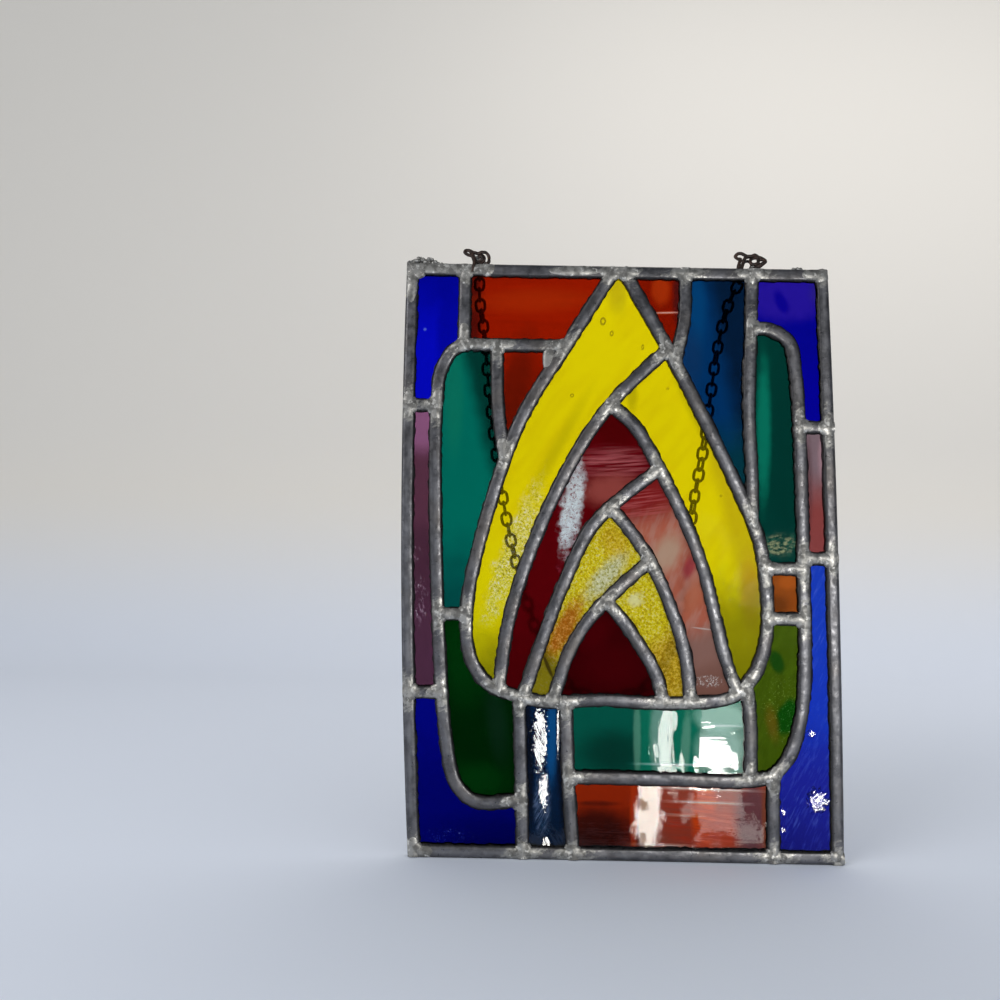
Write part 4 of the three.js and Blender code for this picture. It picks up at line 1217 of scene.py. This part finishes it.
# Solder at the frame's corners and under the eyes, in millimetres on the drawing: domes with their
# place and half sizes, the eyes' places, the two mounds on the top left corner with their height,
# place and spread, and three crumbs on the top edge
DOMES = (
    (-97.8, 259.6, 5.0, 4.4), (-91.6, 3.6, 4.0, 3.6), (85.2, 259.8, 3.8, 3.4),
    (91.4, 3.4, 3.2, 2.8), (-65.6, 260.9, 5.4, 3.2), (56.0, 260.9, 6.0, 3.2),
)
EYES = ((-68.4, 265.6), (56.0, 265.2))
MOUNDS = ((3.3, -96.3, 3.3), (3.2, -90.7, 2.7))
TOP_CRUMBS = ((75.0, 263.3), (76.4, 263.2), (73.4, 263.1))


class BUILD_OT_solder(bpy.types.Operator):
    """Make the solder that joins the leads, on both faces, and the lumps at the corners"""
    bl_idname = "glass_panel.solder"
    bl_label = "Solder"

    def execute(self, context):
        chance = np.random.default_rng(7)
        solder = finish("solder", solder_finish)
        for side, name in ((1.0, "solder_front"), (-1.0, "solder_back")):
            build(name, self.face(side, chance), solder)
        build("solder_corners", self.corners(chance), solder)
        return {"FINISHED"}

    def face(self, side, chance):
        """At each joint a run on both leads and a star; a dome in one narrow corner; the frame's
        runs."""
        use = settings("lead_sizes")
        crown_height = use.came_thickness / 2
        shells = []
        for seed, (line, met, where) in enumerate(joints()):
            reach = use.solder_reach * chance.uniform(0.6, 1.15)
            shells.append(solder_run(line, -0.0008, reach, False, True, seed, side))
            wide = use.solder_reach * chance.uniform(0.55, 0.95)
            total = lengths(met)[-1]
            start, end = max(END_INSET, where - wide), min(total - END_INSET, where + wide)
            shells.append(solder_run(met, start, end, start > NEAR_END, end < total - NEAR_END,
                                     seed + 100, side))
            top = crown_height + use.solder_height * chance.uniform(0.7, 1.2)
            shells.append(solder_star(line, met, where, top, seed + 200, side))
        shells.append(solder_blob((-0.0366, 0.2200), 0.0031, 0.0078, crown_height - 0.0001, 300,
                                  side))
        for seed, (lead, start, end) in enumerate(FRAME_RUNS):
            shells.append(solder_run(side_middle(lead), start, end, start > NEAR_END, end < 0.18,
                                     310 + seed, side))
        return shells

    def corners(self, chance):
        """The domes, crumbs inside the eyes, the mounds with a few crumbs below them, and a lump
        over the end of the top right corner. A crumb of a mound lies on or under the mound's top,
        which is a sum of bells: height times e to the minus square of the way over the spread."""
        shells = []
        for x, y, across, high in DOMES:
            shells.append(solder_blob((x * MM, y * MM), across * MM, high * MM, 0.00285, x))
        for seed in range(16):
            x, y = EYES[seed % 2]
            where = (x + chance.uniform(-1.6, 1.6), y + chance.uniform(-1.8, 0.9),
                     chance.uniform(-0.6, 0.6))
            radius = chance.uniform(0.45, 0.85) * MM
            shells.append(crumb(np.array(where) * MM, (radius, radius, radius), seed + 120))
        for seed in range(95):
            along = chance.uniform(-101.0, -84.6)
            hill = 0.5 + sum(high * math.exp(-((along - at) / spread) ** 2)
                             for high, at, spread in MOUNDS)
            rise = (hill - 0.7) * math.sqrt(chance.uniform(0.02, 1.0))
            where = (along * MM, (262.6 + rise) * MM, chance.uniform(-0.0016, 0.0019))
            radius = chance.uniform(0.45, 0.95) * MM
            shells.append(crumb(where, (radius * 1.15, radius, radius), seed + 1))
        for seed in range(12):
            where = (chance.uniform(-101.2, -97.5) * MM, chance.uniform(254.5, 262.0) * MM, 0.0021)
            radius = chance.uniform(0.5, 1.0) * MM
            shells.append(crumb(where, (radius, radius, radius * 0.8), seed + 50))
        shells.append(crumb((0.0860, 0.2628, 0.0), (0.0026, 0.0006, 0.0025), 77))
        for seed, (x, y) in enumerate(TOP_CRUMBS):
            shells.append(crumb((x * MM, y * MM, 0.0006), (0.0011, 0.0009, 0.0011), seed + 80))
        return shells


# Glass

class BUILD_OT_panes(bpy.types.Operator):
    """Give every pane its coloured glass"""
    bl_idname = "glass_panel.panes"
    bl_label = "Panes"

    def execute(self, context):
        use = settings("finishes")
        slots = {part["node"]: part["material_slot"] for part in frame["record"]["subparts"]}
        for node, slot in slots.items():
            if not slot.startswith("glass_"):
                continue
            if slot not in GLASS_FINISHES:
                raise RuntimeError("No glass is mixed for the slot " + slot)
            maker = GLASS_FINISHES[slot]
            base = tuple(getattr(use, slot[len("glass_"):]))
            material = finish(slot, lambda: maker(base))
            pane = frame["nodes"][node]
            pane.data.materials.clear()
            pane.data.materials.append(material)
        return {"FINISHED"}


# Wire eyes and chain

EYE_WIRES = {
    "eye_left": [
        [[-72.0, 259.2, 1.9], [-71.7, 261.1, 2.1], [-71.1, 263.3, 2.0], [-71.6, 265.5, 1.3],
         [-72.4, 266.9, 0.9], [-74.2, 267.7, 0.5], [-75.6, 268.6, 0.2], [-75.3, 269.6, -0.1],
         [-73.8, 269.8, -0.2], [-72.0, 269.0, 0.0], [-69.8, 268.3, 0.3], [-67.7, 268.9, 0.3],
         [-65.9, 268.8, 0.2], [-64.9, 267.6, 0.2], [-64.4, 265.7, 0.3], [-64.7, 264.2, 0.5],
         [-66.2, 263.2, 0.7]],
        [[-73.4, 269.4, 0.4], [-72.4, 268.4, 0.6], [-71.5, 266.8, 0.6], [-70.6, 265.0, 0.3],
         [-69.0, 263.9, 0.2], [-67.2, 264.3, 0.6], [-66.7, 266.0, 0.8], [-67.9, 267.4, 0.2],
         [-69.6, 266.8, -0.5], [-69.8, 265.2, -0.3], [-68.4, 264.6, 0.9], [-67.4, 265.6, 1.3],
         [-68.2, 266.9, 1.0], [-69.4, 266.2, 0.9]],
    ],
    "eye_right": [
        [[48.2, 262.9, 1.2], [48.6, 265.2, 1.0], [49.5, 267.4, 0.6], [48.2, 267.9, 0.2],
         [47.3, 269.0, 0.0], [48.3, 270.1, 0.0], [49.7, 270.3, 0.1], [51.3, 269.6, 0.2],
         [52.8, 269.0, 0.3], [54.6, 269.2, 0.2], [56.1, 269.8, 0.0], [57.5, 269.0, -0.3],
         [59.3, 268.4, -0.2], [60.9, 266.9, 0.1], [59.7, 265.6, 0.5], [57.1, 263.6, 0.8]],
        [[49.9, 263.0, 0.6], [50.6, 265.6, 0.6], [51.7, 268.2, 0.4], [53.5, 268.8, -0.1],
         [55.3, 269.2, -0.4], [57.3, 268.3, -0.2], [57.5, 266.3, 0.3], [56.1, 265.2, 0.5],
         [54.4, 265.7, 0.2], [54.2, 267.5, -0.3], [56.1, 268.6, -0.6], [58.2, 267.9, -0.2],
         [60.3, 267.6, 0.2]],
        [[60.5, 266.4, 0.6], [59.0, 265.5, 0.9], [57.1, 264.4, 1.1], [55.6, 263.2, 1.0]],
    ],
}


class BUILD_OT_eyes(bpy.types.Operator):
    """Make the two twisted wire eyes on the top edge"""
    bl_idname = "glass_panel.eyes"
    bl_label = "Wire eyes"

    def execute(self, context):
        use = settings("wire_sizes")
        dark = finish("dark_wire", wire_finish)
        for seed, (name, wires) in enumerate(EYE_WIRES.items()):
            shells = []
            for points in wires:
                line = smooth_line(np.array(points) * MM, 8)
                kinks = np.stack([lumps(line + k, 0.0016, seed + k) for k in range(3)], axis=-1)
                line = line + 0.00012 * kinks
                radius = use.eye_wire / 2 * (1 + 0.10 * lumps(line, 0.0012, seed + 9))
                shells.append((wire(line, radius, 10), False))
            build("wire_" + name, shells, dark, [name])
        return {"FINISHED"}


def chain_line():
    """The chain's middle line: from one eye's upper wire over the top edge and down behind the
    panel."""
    corner_left, corner_right = place(CORNERS["top_left"]), place(CORNERS["top_right"])
    top = PANEL_HEIGHT + JOINT_GAP + EYE_HEIGHT - EYE_WIRE / 2
    left = np.array([corner_left[0] + EYE_LEFT_INSET, top, 0])
    right = np.array([corner_right[0] - EYE_RIGHT_INSET, top, 0])
    scale = np.array([EYE_HEIGHT, EYE_HEIGHT, -CHAIN_BEHIND])
    route = np.hstack([place(CHAIN_ROUTE), np.full((len(CHAIN_ROUTE), 1), -CHAIN_BEHIND)])
    points = np.vstack([left, left + np.array(CHAIN_LEAVES_LEFT) * scale, route,
                        right + np.array(CHAIN_LEAVES_RIGHT[::-1]) * scale, right])
    return smooth_line(points, 100)


class BUILD_OT_chain(bpy.types.Operator):
    """Make the hanging chain, each link turned a quarter from the last"""
    bl_idname = "glass_panel.chain"
    bl_label = "Chain"

    def execute(self, context):
        use = settings("wire_sizes")
        line = chain_line()
        total = lengths(line)[-1]
        first = use.link_length / 2 - use.link_wire - EYE_WIRE / 2 - JOINT_GAP
        pitch = use.link_length - 2 * use.link_wire + use.link_press
        gaps = 2 * math.ceil((total - 2 * first) / (2 * pitch))
        places = first + (total - 2 * first) * np.arange(gaps + 1) / gaps
        centres = evenly(line, places)
        tangents = directions(line)
        along = evenly(tangents, np.interp(places, lengths(line), lengths(tangents)))
        along /= np.linalg.norm(along, axis=1, keepdims=True)
        turn = np.arange(20) * 2 * math.pi / 20
        radius = (use.link_width - use.link_wire) / 2
        pull = (use.link_length - use.link_width) / 2
        stretch = pull * np.sign(np.round(np.cos(turn), 6))
        oval = np.stack([radius * np.cos(turn) + stretch, radius * np.sin(turn)], axis=-1)
        chance = np.random.default_rng(11)
        shells = []
        for index, (centre, forward) in enumerate(zip(centres, along)):
            if index in (0, gaps):
                continue
            side = np.cross(forward, [0, 0, 1.0])
            side /= np.linalg.norm(side)
            up = np.cross(side, forward)
            angle = (index + 1) * math.pi / 2 + chance.uniform(-0.30, 0.30) * (4 < index < gaps - 4)
            across = side * math.cos(angle) + up * math.sin(angle)
            ring = centre + oval[:, 0:1] * forward + oval[:, 1:2] * across
            shells.append((wire(ring, use.link_face / 2, 7, closed=True), True))
        dark = finish("dark_wire", wire_finish)
        build("chain_links", shells, dark, ["hanging_chain"])
        return {"FINISHED"}


# Stage

CAMERA_AT = (-0.0493, -0.4018, -0.1295)
CAMERA_RIGHT = (0.99983, 0.00329, 0.01804)
CAMERA_FORWARD = (-0.00431, 0.99837, 0.05693)
CAMERA_LENS = 32.4

# Lights: name, place, aim, width, height, the setting with the power, tone
SOFT_LIGHTS = (
    ("key_soft", (-0.75, -0.75, 0.45), (-0.02, 0, -0.12), 0.5, 0.5, "key", (1.0, 0.98, 0.96)),
    ("strip_left", (-0.80, -0.42, -0.02), (0.0, 0, -0.13), 0.10, 0.70, "strip", (0.95, 0.98, 1.0)),
    ("wall_wash", (0.55, 0.28, 0.62), (0.60, 0.9, 0.02), 1.2, 0.3, "wall", (1.0, 0.97, 0.93)),
)

# Small lights that only reflections show: name, place, width, height, share of the radiance, shape
WINDOW_LIGHTS = (
    ("window_left", (0.215, -0.78, -0.165), 0.026, 0.19, 0.5, "RECTANGLE"),
    ("window_right", (0.272, -0.75, -0.172), 0.055, 0.052, 1.0, "ELLIPSE"),
    ("window_wide", (0.310, -0.80, -0.175), 0.080, 0.16, 0.10, "RECTANGLE"),
)


def turned(side, up, away, at):
    """The matrix of a lamp or camera at a point, which looks against its third direction."""
    matrix = Matrix([[*side, 0], [*up, 0], [*away, 0], [0, 0, 0, 1]]).transposed()
    matrix.translation = at
    return matrix


def add_light(name, at, aim, width, height, power, tone, shape="RECTANGLE"):
    """An area light that faces a point."""
    data = bpy.data.lights.new(name, "AREA")
    data.shape, data.size, data.size_y = shape, width, height
    data.energy, data.color = power, tone
    lamp = bpy.data.objects.new(name, data)
    away = np.array(at, float) - np.array(aim, float)
    away /= np.linalg.norm(away)
    side = np.cross([0, 0, 1.0], away)
    side /= np.linalg.norm(side)
    lamp.matrix_world = turned(side, np.cross(away, side), away, at)
    lamp.visible_camera = lamp.visible_transmission = False
    bpy.context.scene.collection.objects.link(lamp)
    return lamp


class BUILD_OT_stage(bpy.types.Operator):
    """Make the pale floor that turns up into a backdrop, the lights and the camera"""
    bl_idname = "glass_panel.stage"
    bl_label = "Stage"

    def execute(self, context):
        use = settings("stage_settings")
        bpy.context.scene.view_settings.view_transform = "Standard"
        self.floor(use)
        self.lights(use)
        self.camera()
        return {"FINISHED"}

    def floor(self, use):
        """A sheet that lies flat, bends up along a quarter circle and stands as a wall, carried
        sideways."""
        low, bend, wall, columns = -PANEL_HEIGHT - 0.00015, 0.30, 1.5, 12
        turn = np.linspace(0, math.pi / 2, 24)[1:]
        flat = np.linspace(-2.4, use.backdrop - bend, columns)
        y = np.concatenate([flat, use.backdrop - bend + bend * np.sin(turn), [use.backdrop]])
        z = np.concatenate([np.full(columns, low), low + bend * (1 - np.cos(turn)), [low + wall]])
        x = np.linspace(-2.2, 2.2, columns)
        across, back = np.meshgrid(x, y)
        grid = np.stack([across, back, np.repeat(z[:, None], columns, 1)], -1)
        index = np.arange(grid[..., 0].size).reshape(len(y), columns)
        quads = np.stack([index[:-1, :-1], index[:-1, 1:], index[1:, 1:], index[1:, :-1]], -1)
        mesh = bpy.data.meshes.new("pale_floor")
        mesh.from_pydata(grid.reshape(-1, 3), [], quads.reshape(-1, 4).tolist())
        mesh.polygons.foreach_set("use_smooth", np.ones(len(mesh.polygons), bool))
        made = Finish("pale_floor")
        made.set(Roughness=0.85, Specular_IOR_Level=0.0)
        high = made.node("ShaderNodeSeparateXYZ", Vector=made.object).outputs["Z"]
        tone = made.mix(made.ramp(high, -0.27, -0.04), tuple(use.floor), tuple(use.wall_tone))
        made.feed(made.shader.inputs["Base Color"], tone)
        mesh.materials.append(made.material)
        sheet = bpy.data.objects.new("pale_floor", mesh)
        bpy.context.scene.collection.objects.link(sheet)

    def lights(self, use):
        """Light from all round, darker in reflections, soft lights, and small window-shaped ones
        low at the right."""
        world = bpy.data.worlds.new("studio")
        bpy.context.scene.world = world
        world.use_nodes = True
        tree = world.node_tree
        background = tree.nodes["Background"]
        ray = tree.nodes.new("ShaderNodeLightPath")
        mix = tree.nodes.new("ShaderNodeMix")
        mix.data_type = "RGBA"
        reflected = tree.nodes.new("ShaderNodeMath")
        reflected.operation, reflected.use_clamp = "SUBTRACT", True
        tree.links.new(ray.outputs["Is Glossy Ray"], reflected.inputs[0])
        tree.links.new(ray.outputs["Is Transmission Ray"], reflected.inputs[1])
        tree.links.new(reflected.outputs[0], mix.inputs[0])
        mix.inputs[6].default_value = (0.95, 0.98, 1.0, 1.0)
        mix.inputs[7].default_value = (0.16, 0.175, 0.20, 1.0)
        tree.links.new(mix.outputs[2], background.inputs["Color"])
        background.inputs["Strength"].default_value = use.fill
        for name, at, aim, width, height, power, tone in SOFT_LIGHTS:
            add_light(name, at, aim, width, height, getattr(use, power), tone)
        for name, at, width, height, share, shape in WINDOW_LIGHTS:
            area = width * height * (math.pi / 4 if shape == "ELLIPSE" else 1.0)
            lamp = add_light(name, at, (0.03, 0, -0.22), width, height,
                             use.glint * share * math.pi * area, (1.0, 0.98, 0.93), shape)
            lamp.visible_diffuse = False

    def camera(self):
        """The camera at the photograph's viewing angle, worked out from the panel's four
        corners."""
        data = bpy.data.cameras.new("camera")
        data.lens, data.sensor_width = CAMERA_LENS, 36.0
        data.clip_start = 0.01
        lens = bpy.data.objects.new("camera", data)
        right, forward = np.array(CAMERA_RIGHT), np.array(CAMERA_FORWARD)
        lens.matrix_world = turned(right, np.cross(right, forward), -forward, CAMERA_AT)
        bpy.context.scene.collection.objects.link(lens)
        bpy.context.scene.camera = lens


class BUILD_PT_panel(bpy.types.Panel):
    bl_label = "Glass panel"
    bl_idname = "BUILD_PT_glass_panel"
    bl_space_type = "VIEW_3D"
    bl_region_type = "UI"
    bl_category = "Glass panel"

    def draw(self, context):
        for operator in OPERATORS:
            self.layout.operator(operator.bl_idname)
        for group, kind in GROUPS.items():
            column = self.layout.column(align=True)
            for key in kind.__annotations__:
                column.prop(getattr(context.scene, group), key)


OPERATORS = (BUILD_OT_stage, BUILD_OT_lead_frame, BUILD_OT_lead_cames, BUILD_OT_solder,
             BUILD_OT_panes, BUILD_OT_eyes, BUILD_OT_chain)


def register():
    for kind in GROUPS.values():
        bpy.utils.register_class(kind)
    for operator in OPERATORS:
        bpy.utils.register_class(operator)
    bpy.utils.register_class(BUILD_PT_panel)
    for group, kind in GROUPS.items():
        setattr(bpy.types.Scene, group, PointerProperty(type=kind))


def unregister():
    for group in GROUPS:
        delattr(bpy.types.Scene, group)
    bpy.utils.unregister_class(BUILD_PT_panel)
    for operator in reversed(OPERATORS):
        bpy.utils.unregister_class(operator)
    for kind in reversed(list(GROUPS.values())):
        bpy.utils.unregister_class(kind)


def main():
    register()
    bpy.ops.glass_panel.stage()
    bpy.ops.glass_panel.lead_frame()
    bpy.ops.glass_panel.lead_cames()
    bpy.ops.glass_panel.solder()
    bpy.ops.glass_panel.panes()
    bpy.ops.glass_panel.eyes()
    bpy.ops.glass_panel.chain()


if __name__ == "__main__":
    main()
